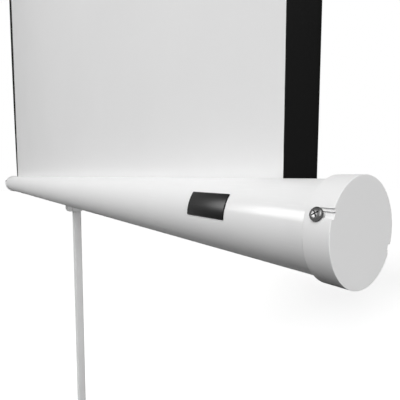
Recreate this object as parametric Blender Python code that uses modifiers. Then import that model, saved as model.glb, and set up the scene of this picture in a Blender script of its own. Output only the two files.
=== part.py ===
"""Tripod projector screen: a pull-up screen in a round case, on a square pole with three folding legs.

Metres, +Z up, front at -Y. The origin lies on the floor, under the middle of the feet's outline.
Pieces are modelled in the frame of the body that carries them: an empty on that body's joint axis.
"""
import math

import bmesh
import bpy
from mathutils import Matrix, Vector

# Clearances between pieces
GAP = 0.0003
RUN = 0.0004

# Case: the round housing that the screen rolls into
CASE_LENGTH = 1.668
CASE_HEIGHT = 1.140
TUBE_RADIUS = 0.0332
TUBE_WALL = 0.0015
SLOT_WIDTH = 0.006
LIP_DEPTH = 0.0035
LIP_CURL = 0.0012
CAP_WALL = 0.0025
CAP_LENGTH = 0.0186
CAP_FACE = 0.0030
CAP_EDGE = 0.0008
NOTCH_WIDTH = 0.0062
CAP_SCREW_IN = 0.0098
CAP_SCREW_ANGLE = math.radians(20.8)
SCREW_HEAD_RADIUS = 0.0043
SCREW_HEAD_HEIGHT = 0.0022
SCREW_SHANK_RADIUS = 0.0020
SCREW_LENGTH = 0.0075
CROSS_WIDTH = 0.0009
CROSS_SPAN = 0.0046
CROSS_DEPTH = 0.0010
PLATE_FROM_END = 0.0950
PLATE_LENGTH = 0.0510
PLATE_LOW = math.radians(0.5)
PLATE_HIGH = math.radians(37.5)
PLATE_THICK = 0.0008

# Screen: the sheet, the bar along its top edge and the bail that hangs it
SIDE_MARGIN = 0.040
FABRIC_THICK = 0.0005
FABRIC_RISE = 1.507
BAR_WIDTH = 0.0170
BAR_HEIGHT = 0.0150
BAR_WALL = 0.0012
BAR_CORNER = 0.0055
BAR_FOOT = 0.0015
BAR_OVERHANG = 0.005
BAR_CAP_LENGTH = 0.005
BAR_CAP_PROUD = 0.0008
BAR_SEAT = 0.0008
GROOVE_WIDTH = 0.0017
GROOVE_DEPTH = 0.0045
BAIL_WIRE = 0.0020
BAIL_HALF = 0.0160
BAIL_LUG = 0.0105
BAIL_LUG_THICK = 0.0020
BAIL_LUG_HALF = 0.0045
BRACKET_BASE = 0.0012
BAIL_PIVOT_RISE = 0.0052
BAIL_BACK = 0.0190
BAIL_UP = 0.0400

# Roller and its spring, inside the case
ROLLER_RADIUS = 0.0170
ROLLER_WALL = 0.0012
ROLLER_CLEAR = 0.00515
ROLLER_END_GAP = 0.0030
PLUG_FLANGE = 0.0040
PLUG_INSERT = 0.0200
PIN_RADIUS = 0.0040
CAP_BOSS_RADIUS = 0.0090
CAP_BOSS_LENGTH = 0.0120
SPRING_SHAFT_LENGTH = 0.300
SPRING_RADIUS = 0.0080
SPRING_WIRE = 0.0010
SPRING_TURNS = 10
SPRING_PITCH = 0.0210

# Poles
POLE_WIDTH = 0.0190
POLE_WALL = 0.0012
POLE_CORNER = 0.0020
POLE_FOOT = 0.0180
POLE_TOP = 1.700
EXTENSION_PLAY = 0.0005
EXTENSION_WALL = 0.0011
EXTENSION_OVERLAP = 0.150
PLUG_HEIGHT = 0.0200
SOLE_HEIGHT = 0.0060

# Slider that carries the case on the pole, and the saddle that holds the case to it
SLIDER_WALL = 0.0025
SLIDER_FRONT_WALL = 0.0041
SLIDER_BELOW = 0.061
SLIDER_ABOVE = 0.050
SWIVEL_GAP = 0.0006
SADDLE_WALL = 0.0063
SADDLE_DEPTH = 0.0115
SADDLE_STEP = 0.0100
SADDLE_HALF_WIDTH = 0.0120
SADDLE_DROP = 0.0273
SADDLE_SHY = 0.0032
SADDLE_CHAMFER = 0.0060
BOLT_RADIUS = 0.0040
BOLT_HEAD_RADIUS = 0.0080
BOLT_HEAD_HEIGHT = 0.0024

# Carry handle on the back of the case
HANDLE_CENTRE = -0.150
HANDLE_SPAN = 0.130
HANDLE_CLEAR = 0.0388
HANDLE_BEND = 0.018
HANDLE_GRIP = 0.0065
HANDLE_LEAN = math.radians(50)
HANDLE_MOUNT_LENGTH = 0.026
HANDLE_MOUNT_WIDTH = 0.020
HANDLE_MOUNT_HEIGHT = 0.0088
HANDLE_MOUNT_EDGE = 0.002

# Tripod
OPEN_ANGLE = math.radians(62)
LEG_LENGTH = 0.580
PIVOT_OUT = 0.0095
LEG_WIDTH = 0.0160
LEG_DEPTH = 0.0140
LEG_WALL = 0.0013
LEG_CORNER = 0.0022
FOOT_WALL = 0.00187
FOOT_FLAT = 0.0010
FOOT_LENGTH = 0.028
BRACE_THICK = 0.0040
BRACE_WIDTH = 0.0100
EAR_THICK = 0.0022
EAR_HALF_HEIGHT = 0.0055
RIVET_RADIUS = 0.0024
RIVET_HEAD_RADIUS = 0.0040
RIVET_HEAD_HEIGHT = 0.0010
COLLAR_WALL = 0.0080
RING_HEIGHT = 0.0240
RING_Z = 0.0404
COLLAR_BELOW = 0.012
COLLAR_ABOVE = 0.036
COLLAR_KNOB_RISE = 0.024
LEG_AZIMUTHS = {
    "front_right": math.radians(-30),
    "front_left": math.radians(210),
    "rear": math.radians(90),
}

# Knobs and the clamp lever at the top of the main pole
KNOB_RADIUS = 0.0170
KNOB_LOBES = 5
KNOB_POINTS = 30
KNOB_HEIGHT = 0.0150
KNOB_SHANK = 0.0030
KNOB_BOSS_RADIUS = 0.0070
KNOB_BOSS_LENGTH = 0.0060
KNOB_STEM = 0.0020
TOP_COLLAR_HEIGHT = 0.036
TOP_COLLAR_WALL = 0.0025
TOP_COLLAR_RISE = 0.006
LEVER_LENGTH = 0.046
LEVER_THICK = 0.0090
LEVER_EAR_THICK = 0.0030
LEVER_EAR_HALF = 0.0070
LEVER_OUT = 0.0100
LEVER_CAM = 0.0065

# Head at the top of the extension, with the hook that the bail drops over
HEAD_WALL = 0.0024
HEAD_SKIRT = 0.022
HEAD_ROOF = 0.010
HOOK_WIDTH = 0.0120
HOOK_THICK = 0.0040
HOOK_LIP = 0.0060
HOOK_SEAT = 0.0026

# Travels of the slides, from where they stand here
CASE_DROP = 0.260
CASE_LIFT = 0.100
EXTENSION_TRAVEL = 0.980

# Places and fits that follow from the sizes above
COLLAR_Z = LEG_LENGTH * math.cos(OPEN_ANGLE)
BRACE_LENGTH = (COLLAR_Z - RING_Z) / (2 * math.cos(OPEN_ANGLE))
COLLAR_RADIUS = POLE_WIDTH / 2 + COLLAR_WALL
PIVOT_RADIUS = COLLAR_RADIUS + PIVOT_OUT
FOOT_RADIUS = math.hypot(LEG_WIDTH, LEG_DEPTH) / 2 + FOOT_WALL
COLLAR_TRAVEL = 2 * BRACE_LENGTH * (1 - math.cos(OPEN_ANGLE))
FOOT_ALONG = (COLLAR_Z - FOOT_RADIUS + FOOT_FLAT) / math.cos(OPEN_ANGLE)
FOOT_REACH = PIVOT_RADIUS + FOOT_ALONG * math.sin(OPEN_ANGLE)
POLE_Y = -FOOT_REACH / 4
SLIDER_HALF_WIDTH = POLE_WIDTH / 2 + GAP + SLIDER_WALL
SADDLE_BACK = TUBE_RADIUS + SADDLE_WALL
SADDLE_FRONT = SADDLE_BACK - SADDLE_DEPTH
SADDLE_BELOW = TUBE_RADIUS + SADDLE_DROP
SADDLE_ABOVE = TUBE_RADIUS - SADDLE_SHY
STANDOFF = SADDLE_BACK + SWIVEL_GAP + SLIDER_FRONT_WALL + GAP + POLE_WIDTH / 2
CASE_Y = POLE_Y - STANDOFF
HALF_CASE = CASE_LENGTH / 2
TUBE_INNER = TUBE_RADIUS - TUBE_WALL
CAP_RADIUS = TUBE_RADIUS + GAP + CAP_WALL
ROLLER_FORWARD = TUBE_INNER - ROLLER_RADIUS - ROLLER_CLEAR
ROLLER_Y = CASE_Y - ROLLER_FORWARD
SLOT_BACK = ROLLER_RADIUS + GAP + FABRIC_THICK / 2 - ROLLER_FORWARD
SLOT_Y = CASE_Y + SLOT_BACK
HANDLE_RISE = TUBE_RADIUS + HANDLE_CLEAR
HANDLE_MOUNT_TOP = TUBE_RADIUS + HANDLE_MOUNT_HEIGHT
EXTENSION_WIDTH = POLE_WIDTH - 2 * (POLE_WALL + EXTENSION_PLAY)
TOP_COLLAR_HALF = POLE_WIDTH / 2 + GAP + TOP_COLLAR_WALL
HEAD_HALF = EXTENSION_WIDTH / 2 + GAP + HEAD_WALL
HALF_FABRIC = HALF_CASE - SIDE_MARGIN
HALF_ROLLER = HALF_CASE - CAP_FACE - CAP_BOSS_LENGTH - ROLLER_END_GAP
BAR_LOW = CASE_HEIGHT + TUBE_RADIUS + FABRIC_RISE
SCREEN_TRAVEL = FABRIC_RISE - BAR_SEAT
BAIL_PIVOT_Z = BAR_LOW + BAR_HEIGHT + BAIL_PIVOT_RISE
HOOK_Z = BAIL_PIVOT_Z + BAIL_UP
HEAD_TOP = HOOK_Z + 0.014
EXTENSION_TOP = HEAD_TOP - HEAD_ROOF
EXTENSION_FOOT = POLE_TOP - EXTENSION_OVERLAP
CHANNEL_INNER = LEG_WIDTH - 2 * LEG_WALL
EAR_STACK = BRACE_THICK + 2 * RUN + 2 * EAR_THICK
HOLE_RADIUS = RIVET_RADIUS + GAP

PIECES = "tripod_projector_screen"
CUTTERS = "cutters"

X_AXIS = Matrix.Rotation(math.pi / 2, 4, "Y")
MINUS_Y = Matrix.Rotation(math.pi / 2, 4, "X")
PLUS_Y = Matrix.Rotation(-math.pi / 2, 4, "X")


def start_scene():
    """Empty the scene and add one collection for the pieces and one for the cutters."""
    for item in list(bpy.data.objects):
        bpy.data.objects.remove(item)
    for name in (PIECES, CUTTERS):
        group = bpy.data.collections.new(name)
        bpy.context.scene.collection.children.link(group)


def make_material(name, colour, roughness, metallic):
    """A Principled material in one plain colour."""
    finish = bpy.data.materials.new(name)
    finish.use_nodes = True
    shader = finish.node_tree.nodes["Principled BSDF"]
    shader.inputs["Base Color"].default_value = (*colour, 1)
    shader.inputs["Roughness"].default_value = roughness
    shader.inputs["Metallic"].default_value = metallic
    finish.diffuse_color = (*colour, 1)
    return finish


def make_frame(name, origin, parent=None, turn=None):
    """An empty on a joint's axis, which carries the pieces of one body."""
    frame = bpy.data.objects.new(name, None)
    bpy.data.collections[PIECES].objects.link(frame)
    frame.empty_display_size = 0.03
    world = Matrix.Translation(origin) @ (turn or Matrix())
    if parent:
        frame.parent = parent
        frame.matrix_local = world_of(parent).inverted() @ world
    else:
        frame.matrix_local = world
    return frame


def world_of(item):
    """An object's world matrix, down its chain of parents, before the scene is evaluated."""
    return world_of(item.parent) @ item.matrix_basis if item.parent else item.matrix_basis.copy()


def put(item, frame, matrix, finish=None, collection=PIECES):
    """Put an object in a frame at a local matrix, with its material."""
    bpy.data.collections[collection].objects.link(item)
    item.parent = frame
    item.matrix_local = matrix or Matrix()
    if finish:
        item.data.materials.append(finish)
    if collection == CUTTERS:
        item.hide_render = True
        item.display_type = "WIRE"
    elif item.type == "MESH":
        item.data.shade_smooth()
        item.data.set_sharp_from_angle(angle=math.radians(35))
    return item


def from_bmesh(name, shape):
    """A new mesh object from a bmesh, which is freed."""
    mesh = bpy.data.meshes.new(name)
    shape.to_mesh(mesh)
    shape.free()
    return bpy.data.objects.new(name, mesh)


def block(name, low, high, frame=None, finish=None, matrix=None, edge=0.0, collection=PIECES):
    """A box between two corners, with a bevel on its edges if edge is given."""
    low, high = Vector(low), Vector(high)
    shape = bmesh.new()
    bmesh.ops.create_cube(shape, size=1)
    bmesh.ops.scale(shape, vec=high - low, verts=shape.verts)
    bmesh.ops.translate(shape, vec=(low + high) / 2, verts=shape.verts)
    item = put(from_bmesh(name, shape), frame, matrix, finish, collection)
    if edge:
        bevel(item, edge)
    return item


def bevel(item, width, segments=2):
    """Round an object's sharp edges."""
    modifier = item.modifiers.new("edges", "BEVEL")
    modifier.width = width
    modifier.segments = segments
    modifier.limit_method = "ANGLE"
    modifier.angle_limit = math.radians(40)


def rod(name, start, end, radius, frame=None, finish=None, matrix=None, sides=24, collection=PIECES):
    """A cylinder from one point to another."""
    start, end = Vector(start), Vector(end)
    run = end - start
    shape = bmesh.new()
    bmesh.ops.create_cone(
        shape, cap_ends=True, segments=sides, radius1=radius, radius2=radius, depth=run.length
    )
    turn = run.to_track_quat("Z", "Y").to_matrix().to_4x4()
    bmesh.ops.transform(shape, matrix=Matrix.Translation((start + end) / 2) @ turn, verts=shape.verts)
    return put(from_bmesh(name, shape), frame, matrix, finish, collection)


def turned(name, profile, frame=None, finish=None, matrix=None, steps=32, collection=PIECES):
    """A profile of (radius, height) points turned about Z, run down its outer side."""
    mesh = bpy.data.meshes.new(name)
    points = [(radius, 0, height) for radius, height in profile]
    edges = [(i, i + 1) for i in range(len(points) - 1)]
    if profile[0][0] > 0:
        edges.append((len(points) - 1, 0))
    mesh.from_pydata(points, edges, [])
    item = put(bpy.data.objects.new(name, mesh), frame, matrix, finish, collection)
    screw = item.modifiers.new("turn", "SCREW")
    screw.axis = "Z"
    screw.steps = steps
    screw.render_steps = steps
    screw.use_merge_vertices = True
    screw.merge_threshold = 0.00001
    screw.use_smooth_shade = True
    return item


def plate(name, outlines, thick, frame=None, finish=None, matrix=None, solid=False, collection=PIECES):
    """A flat outline in XY, with any holes after it, extruded both ways along Z."""
    curve = bpy.data.curves.new(name, "CURVE")
    curve.dimensions = "2D"
    curve.fill_mode = "BOTH"
    curve.extrude = thick / 2
    for outline in outlines:
        spline = curve.splines.new("POLY")
        spline.points.add(len(outline) - 1)
        for point, (x, y) in zip(spline.points, outline):
            point.co = (x, y, 0, 1)
        spline.use_cyclic_u = True
    item = put(bpy.data.objects.new(name, curve), frame, matrix, finish, collection)
    return as_mesh(item) if solid else item


def wire(name, points, radius, frame=None, finish=None, matrix=None, resolution=2):
    """A round wire or tube along a chain of points, with filled ends."""
    curve = bpy.data.curves.new(name, "CURVE")
    curve.dimensions = "3D"
    curve.bevel_depth = radius
    curve.bevel_resolution = resolution
    curve.use_fill_caps = True
    spline = curve.splines.new("POLY")
    spline.points.add(len(points) - 1)
    for point, spot in zip(spline.points, points):
        point.co = (*spot, 1)
    return put(bpy.data.objects.new(name, curve), frame, matrix, finish)


def as_mesh(item):
    """Turn a curve object into a mesh that can be cut, with its caps welded on."""
    bpy.context.view_layer.update()
    evaluated = item.evaluated_get(bpy.context.evaluated_depsgraph_get())
    mesh = bpy.data.meshes.new_from_object(evaluated)
    shape = bmesh.new()
    shape.from_mesh(mesh)
    bmesh.ops.remove_doubles(shape, verts=shape.verts, dist=0.000001)
    shape.to_mesh(mesh)
    shape.free()
    name, frame, matrix = item.name, item.parent, item.matrix_basis.copy()
    collection = item.users_collection[0].name
    bpy.data.objects.remove(item)
    solid = bpy.data.objects.new(name, mesh)
    return put(solid, frame, matrix, None, collection)


def loft(name, sections, frame=None, finish=None, matrix=None, collection=PIECES):
    """A solid through closed sections of equal point count, each (outline, height), from low to high."""
    shape = bmesh.new()
    loops = [[shape.verts.new((x, y, height)) for x, y in outline] for outline, height in sections]
    count = len(loops[0])
    for lower, upper in zip(loops, loops[1:]):
        for i in range(count):
            j = (i + 1) % count
            shape.faces.new((lower[i], lower[j], upper[j], upper[i]))
    shape.faces.new(loops[0][::-1])
    shape.faces.new(loops[-1])
    return put(from_bmesh(name, shape), frame, matrix, finish, collection)


def channel(name, outline, low, high, wall, frame, finish, closed=True):
    """A thin-walled length of tube or channel along Z: an open surface with a wall grown inwards."""
    shape = bmesh.new()
    rows = [[shape.verts.new((x, y, height)) for x, y in outline] for height in (low, high)]
    count = len(outline)
    for i in range(count if closed else count - 1):
        j = (i + 1) % count
        shape.faces.new((rows[0][i], rows[0][j], rows[1][j], rows[1][i]))
    item = put(from_bmesh(name, shape), frame, None, finish)
    walls = item.modifiers.new("wall", "SOLIDIFY")
    walls.thickness = wall
    walls.offset = -1
    walls.use_even_offset = True
    return item


def boolean(item, tool, operation):
    """Cut, join or intersect an object with a hidden tool."""
    modifier = item.modifiers.new(tool.name, "BOOLEAN")
    modifier.operation = operation
    modifier.solver = "EXACT"
    modifier.object = tool
    return item


def cut(item, tool):
    return boolean(item, tool, "DIFFERENCE")


def join(item, tool):
    return boolean(item, tool, "UNION")


def arc(centre_x, centre_y, radius, start, end, count):
    """Points along an arc, both ends included, angles in radians."""
    return [
        (
            centre_x + radius * math.cos(start + (end - start) * i / (count - 1)),
            centre_y + radius * math.sin(start + (end - start) * i / (count - 1)),
        )
        for i in range(count)
    ]


def circle(centre_x, centre_y, radius, count=20):
    """Points once round a circle."""
    return arc(centre_x, centre_y, radius, 0, 2 * math.pi * (1 - 1 / count), count)


def rounded_square(half, corner, half_y=None, count=4):
    """A square or rectangle about the origin with round corners, run anticlockwise."""
    half_y = half if half_y is None else half_y
    points = []
    for k, (sx, sy) in enumerate(((1, 1), (-1, 1), (-1, -1), (1, -1))):
        start = k * math.pi / 2
        points += arc(sx * (half - corner), sy * (half_y - corner), corner, start, start + math.pi / 2, count)
    return points


def rivet_profile(half, head_radius, head_height, radius):
    """Half-section of a rivet with a head at each end, from its top down the outer side."""
    top = half + head_height
    return [
        (0, top),
        (head_radius * 0.7, top),
        (head_radius, half + head_height * 0.4),
        (head_radius, half),
        (radius, half),
        (radius, -half),
        (head_radius, -half),
        (head_radius, -half - head_height * 0.4),
        (head_radius * 0.7, -top),
        (0, -top),
    ]


def star_knob(name, frame, finish, matrix, reach):
    """A lobed hand knob on a threaded stem, which points along -Z from the knob's seat at 0."""

    def lobed(scale):
        points = []
        for i in range(KNOB_POINTS):
            angle = 2 * math.pi * i / KNOB_POINTS
            radius = KNOB_RADIUS * scale * (0.92 + 0.08 * math.cos(KNOB_LOBES * angle))
            points.append((radius * math.cos(angle), radius * math.sin(angle)))
        return points

    stem = circle(0, 0, KNOB_SHANK, KNOB_POINTS)
    neck = circle(0, 0, KNOB_BOSS_RADIUS, KNOB_POINTS)
    sections = [
        (stem, -reach),
        (stem, 0),
        (neck, 0),
        (neck, KNOB_STEM),
        (lobed(0.82), KNOB_STEM),
        (lobed(1.0), KNOB_STEM + 0.003),
        (lobed(1.0), KNOB_HEIGHT - 0.004),
        (lobed(0.80), KNOB_HEIGHT),
    ]
    return loft(name, sections, frame, finish, matrix)


def make_poles(stand, extension, finishes):
    """The square main pole with its sole plug, and the extension that slides in it."""
    outer = rounded_square(POLE_WIDTH / 2, POLE_CORNER)
    channel("main_pole", outer, POLE_FOOT, POLE_TOP, POLE_WALL, stand, finishes["pole"])
    bore = POLE_WIDTH / 2 - POLE_WALL - GAP
    plug = [
        (rounded_square(POLE_WIDTH / 2, POLE_CORNER), POLE_FOOT - GAP - SOLE_HEIGHT),
        (rounded_square(POLE_WIDTH / 2, POLE_CORNER), POLE_FOOT - GAP),
        (rounded_square(bore, 0.001), POLE_FOOT - GAP),
        (rounded_square(bore, 0.001), POLE_FOOT + PLUG_HEIGHT),
    ]
    loft("pole_sole_plug", plug, stand, finishes["black"])

    half = EXTENSION_WIDTH / 2
    foot = EXTENSION_FOOT - EXTENSION_TOP
    outer = rounded_square(half, POLE_CORNER * 0.8)
    channel("extension_pole", outer, foot, 0, EXTENSION_WALL, extension, finishes["pole"])
    guide = rounded_square(POLE_WIDTH / 2 - POLE_WALL - GAP, 0.001)
    insert = rounded_square(half - EXTENSION_WALL - GAP, 0.0007)
    bush = [
        (guide, foot - GAP - 0.012),
        (guide, foot - GAP),
        (insert, foot - GAP),
        (insert, foot + PLUG_HEIGHT),
    ]
    loft("extension_bush", bush, extension, finishes["black"])


def sleeve(name, radius, low, high, frame, finish):
    """A round sleeve with a square bore that slides on the main pole."""
    item = turned(name, [(0, high), (radius, high), (radius, low), (0, low)], frame, finish, steps=36)
    bore = POLE_WIDTH / 2 + GAP
    tool = block(name + "_bore", (-bore, -bore, low - 0.01), (bore, bore, high + 0.01), frame,
                 collection=CUTTERS)
    return item, tool


def ear(name, start, reach, half_height, thick, frame, matrix):
    """A joining tool: a plate with a round end that stands out from a sleeve along +X."""
    outline = [(start, -half_height)] + arc(reach, 0, half_height, -math.pi / 2, math.pi / 2, 8)
    outline.append((start, half_height))
    standing = Matrix.Rotation(math.pi / 2, 4, "X")
    return plate(name, [outline], thick, frame, matrix=matrix @ standing, solid=True, collection=CUTTERS)


def make_ring(stand, finishes):
    """The fixed ring at the pole's foot, with a pair of ears for each brace and its rivet heads."""
    low, high = RING_Z - RING_HEIGHT / 2, RING_Z + RING_HEIGHT / 2
    ring, bore = sleeve("brace_ring", COLLAR_RADIUS, low, high, stand, finishes["black"])
    slots = []
    for side, azimuth in LEG_AZIMUTHS.items():
        turn = Matrix.Translation((0, 0, RING_Z)) @ Matrix.Rotation(azimuth, 4, "Z")
        join(ring, ear(f"ring_ears_{side}", COLLAR_RADIUS - 0.0055, PIVOT_RADIUS, EAR_HALF_HEIGHT, EAR_STACK, stand, turn))
        reach = EAR_STACK / 2 + RIVET_HEAD_HEIGHT
        join(ring, rod(f"ring_rivet_{side}", (PIVOT_RADIUS, -reach, 0), (PIVOT_RADIUS, reach, 0),
                       RIVET_HEAD_RADIUS * 0.8, stand, matrix=turn, sides=12, collection=CUTTERS))
        slit = BRACE_THICK / 2 + RUN
        start = COLLAR_RADIUS + 0.0012
        slots.append(block(f"ring_slit_{side}", (start, -slit, -0.02), (0.05, slit, 0.02), stand,
                           matrix=turn, collection=CUTTERS))
    for slot in slots:
        cut(ring, slot)
    cut(ring, bore)


def make_collar(collar, finishes):
    """The sliding collar that the legs hang from, with a lug for each leg and a boss for its knob."""
    body, bore = sleeve("leg_collar", COLLAR_RADIUS, -COLLAR_BELOW, COLLAR_ABOVE, collar, finishes["black"])
    lug, tall = CHANNEL_INNER - 2 * RUN, EAR_HALF_HEIGHT - 0.0003
    for side, azimuth in LEG_AZIMUTHS.items():
        turn = Matrix.Rotation(azimuth, 4, "Z")
        join(body, ear(f"collar_lug_{side}", COLLAR_RADIUS - 0.0055, PIVOT_RADIUS, tall, lug, collar, turn))
    boss_end = COLLAR_RADIUS + KNOB_BOSS_LENGTH
    centre = (COLLAR_RADIUS - 0.0055, 0, COLLAR_KNOB_RISE)
    join(body, rod("collar_boss", centre, (boss_end, 0, COLLAR_KNOB_RISE), KNOB_BOSS_RADIUS, collar,
                   collection=CUTTERS))
    for side, azimuth in LEG_AZIMUTHS.items():
        turn = Matrix.Rotation(azimuth, 4, "Z")
        cut(body, rod(f"collar_hole_{side}", (PIVOT_RADIUS, -0.02, 0), (PIVOT_RADIUS, 0.02, 0),
                      HOLE_RADIUS, collar, matrix=turn, sides=12, collection=CUTTERS))
        pin = rivet_profile(LEG_WIDTH / 2 + GAP, RIVET_HEAD_RADIUS, RIVET_HEAD_HEIGHT, RIVET_RADIUS)
        turned(f"leg_pin_{side}", pin, collar, finishes["steel"],
               turn @ Matrix.Translation((PIVOT_RADIUS, 0, 0)) @ MINUS_Y, steps=12)
    cut(body, rod("collar_thread", (0.005, 0, COLLAR_KNOB_RISE), (0.05, 0, COLLAR_KNOB_RISE),
                  KNOB_SHANK + GAP, collar, sides=12, collection=CUTTERS))
    cut(body, bore)


def leg_frame_matrix(azimuth):
    """A leg's frame at its open angle: -Z runs down the leg and +X is its outer side."""
    return Matrix.Rotation(azimuth, 4, "Z") @ Matrix.Rotation(-OPEN_ANGLE, 4, "Y")


def make_leg(side, leg, finishes):
    """One leg: a channel open towards the pole, its rubber foot and the rivet that holds the brace."""
    x, y = LEG_DEPTH / 2, LEG_WIDTH / 2
    corner = LEG_CORNER
    outline = [(-x, -y)] + arc(x - corner, -y + corner, corner, -math.pi / 2, 0, 3)
    outline += arc(x - corner, y - corner, corner, 0, math.pi / 2, 3) + [(-x, y)]
    end = FOOT_ALONG - FOOT_RADIUS * 0.1
    item = channel(f"leg_{side}", outline, -end, LEG_DEPTH, LEG_WALL, leg, finishes["black"], closed=False)
    silhouette = [(-x - 0.001, -end - 0.01), (x + 0.001, -end - 0.01), (x + 0.001, 0)]
    silhouette += arc(0, 0, x, 0, math.pi, 10) + [(-x - 0.001, 0)]
    upright = Matrix.Rotation(math.pi / 2, 4, "X")
    shape = plate(f"leg_shape_{side}", [silhouette], LEG_WIDTH + 0.01, leg, matrix=upright, solid=True,
                  collection=CUTTERS)
    boolean(item, shape, "INTERSECT")
    for name, along in (("top", 0), ("brace", -BRACE_LENGTH)):
        cut(item, rod(f"leg_{name}_hole_{side}", (0, -0.02, along), (0, 0.02, along), HOLE_RADIUS, leg,
                      sides=12, collection=CUTTERS))
    rivet = rivet_profile(LEG_WIDTH / 2 + GAP, RIVET_HEAD_RADIUS, RIVET_HEAD_HEIGHT, RIVET_RADIUS)
    turned(f"brace_rivet_{side}", rivet, leg, finishes["steel"],
           Matrix.Translation((0, 0, -BRACE_LENGTH)) @ MINUS_Y, steps=12)

    centre = -FOOT_ALONG
    top = centre + FOOT_LENGTH
    dome = arc(0, centre, FOOT_RADIUS, 0, -math.pi / 2, 6)
    profile = [(0, top), (FOOT_RADIUS - 0.0012, top), (FOOT_RADIUS, top - 0.0012)] + dome[:-1]
    profile.append((0, centre - FOOT_RADIUS))
    foot = turned(f"foot_{side}", profile, leg, finishes["rubber"], steps=20)
    fit_x, fit_y = x + GAP, y + GAP
    cut(foot, block(f"foot_socket_{side}", (-fit_x, -fit_y, -end - GAP), (fit_x, fit_y, top + 0.01), leg,
                    collection=CUTTERS))
    floor = world_of(leg).inverted()
    cut(foot, block(f"foot_floor_{side}", (-1, -1, -0.1), (1, 1, 0), leg, matrix=floor,
                    collection=CUTTERS))


def make_brace(side, brace, finishes):
    """One brace: a flat bar with round ends, from the leg's rivet down to the ring's ears."""
    half = BRACE_WIDTH / 2
    outline = arc(0, 0, half, 0, math.pi, 8) + arc(0, -BRACE_LENGTH, half, math.pi, 2 * math.pi, 8)
    holes = [circle(0, 0, HOLE_RADIUS, 12), circle(0, -BRACE_LENGTH, HOLE_RADIUS, 12)]
    plate(f"brace_{side}", [outline] + holes, BRACE_THICK, brace, finishes["black"],
          Matrix.Rotation(math.pi / 2, 4, "X"))


def make_top_collar(stand, lever, finishes):
    """The guide at the main pole's top, with the ears of its clamp lever at the back."""
    high = POLE_TOP + TOP_COLLAR_RISE
    low = high - TOP_COLLAR_HEIGHT - TOP_COLLAR_RISE
    outer = rounded_square(TOP_COLLAR_HALF, 0.004)
    inner = rounded_square(TOP_COLLAR_HALF - 0.0015, 0.003)
    body = loft("pole_top_collar", [(outer, low), (outer, high - 0.0015), (inner, high)], stand,
                finishes["black"])
    slit = LEVER_THICK / 2 + RUN
    out = TOP_COLLAR_HALF + LEVER_OUT
    middle = (low + high) / 2
    wide = slit + LEVER_EAR_THICK
    turn = Matrix.Translation((0, 0, middle)) @ Matrix.Rotation(math.pi / 2, 4, "Z")
    join(body, ear("lever_ears", TOP_COLLAR_HALF - 0.0013, out, LEVER_EAR_HALF, 2 * wide, stand, turn))
    wide_bore, slim_bore = POLE_WIDTH / 2 + GAP, EXTENSION_WIDTH / 2 + RUN
    cut(body, block("top_collar_bore", (-wide_bore, -wide_bore, low - 0.01),
                    (wide_bore, wide_bore, POLE_TOP + GAP), stand, collection=CUTTERS))
    cut(body, block("top_collar_mouth", (-slim_bore, -slim_bore, POLE_TOP - 0.01),
                    (slim_bore, slim_bore, high + 0.01), stand, collection=CUTTERS))
    cut(body, block("lever_gap", (-slit, TOP_COLLAR_HALF + 0.0004, middle - 0.02),
                    (slit, 0.06, middle + 0.02), stand, collection=CUTTERS))
    cut(body, rod("lever_hole", (-0.03, out, middle), (0.03, out, middle), HOLE_RADIUS, stand, sides=12,
                  collection=CUTTERS))
    pin = rivet_profile(wide + GAP, RIVET_HEAD_RADIUS, RIVET_HEAD_HEIGHT, RIVET_RADIUS)
    turned("lever_pin", pin, stand, finishes["steel"],
           Matrix.Translation((0, out, middle)) @ X_AXIS, steps=12)

    outline = arc(0, 0, LEVER_CAM, math.radians(-60), math.radians(200), 12)
    outline += [(-0.0045, -0.012), (-0.0010, -LEVER_LENGTH + 0.004), (0.0010, -LEVER_LENGTH)]
    outline += [(0.0045, -LEVER_LENGTH), (0.0060, -LEVER_LENGTH + 0.003), (0.0042, -0.014)]
    plate("extension_lever", [outline, circle(0, 0, HOLE_RADIUS, 12)], LEVER_THICK, lever,
          finishes["grey"], Matrix.Rotation(math.pi / 2, 4, "Z") @ Matrix.Rotation(math.pi / 2, 4, "X"))


def make_head(extension, finishes):
    """The cap on the extension. Its hook stands just behind the bail's crossbar."""
    roof = HEAD_TOP - EXTENSION_TOP
    outer = rounded_square(HEAD_HALF, 0.003)
    crown = rounded_square(HEAD_HALF - 0.002, 0.002)
    body = loft("extension_head", [(outer, -HEAD_SKIRT), (outer, roof - 0.002), (crown, roof)], extension,
                finishes["black"])
    lip = SLOT_Y + BAIL_BACK + BAIL_WIRE + RUN - POLE_Y
    seat_y = lip + HOOK_THICK + HOOK_SEAT
    seat_z = HOOK_Z - EXTENSION_TOP
    low = seat_z - HOOK_SEAT - HOOK_THICK
    root = 0.0015 - HEAD_HALF
    outline = [(root, low - 0.005), (root, seat_z + 0.004), (seat_y + HOOK_SEAT, seat_z + 0.004)]
    outline += arc(seat_y, seat_z, HOOK_SEAT, 0, -math.pi, 9)
    outline += [(seat_y - HOOK_SEAT, seat_z + HOOK_LIP), (lip + 0.001, seat_z + HOOK_LIP)]
    outline += [(lip, seat_z + HOOK_LIP - 0.001), (lip, low + 0.003), (lip + 0.003, low)]
    outline += [(seat_y, low)]
    standing = Matrix.Rotation(math.pi / 2, 4, "Z") @ Matrix.Rotation(math.pi / 2, 4, "X")
    join(body, plate("head_hook", [outline], HOOK_WIDTH, extension, matrix=standing, solid=True,
                     collection=CUTTERS))
    bore = EXTENSION_WIDTH / 2 + GAP
    cut(body, block("head_bore", (-bore, -bore, -HEAD_SKIRT - 0.01), (bore, bore, GAP), extension,
                    collection=CUTTERS))


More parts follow.
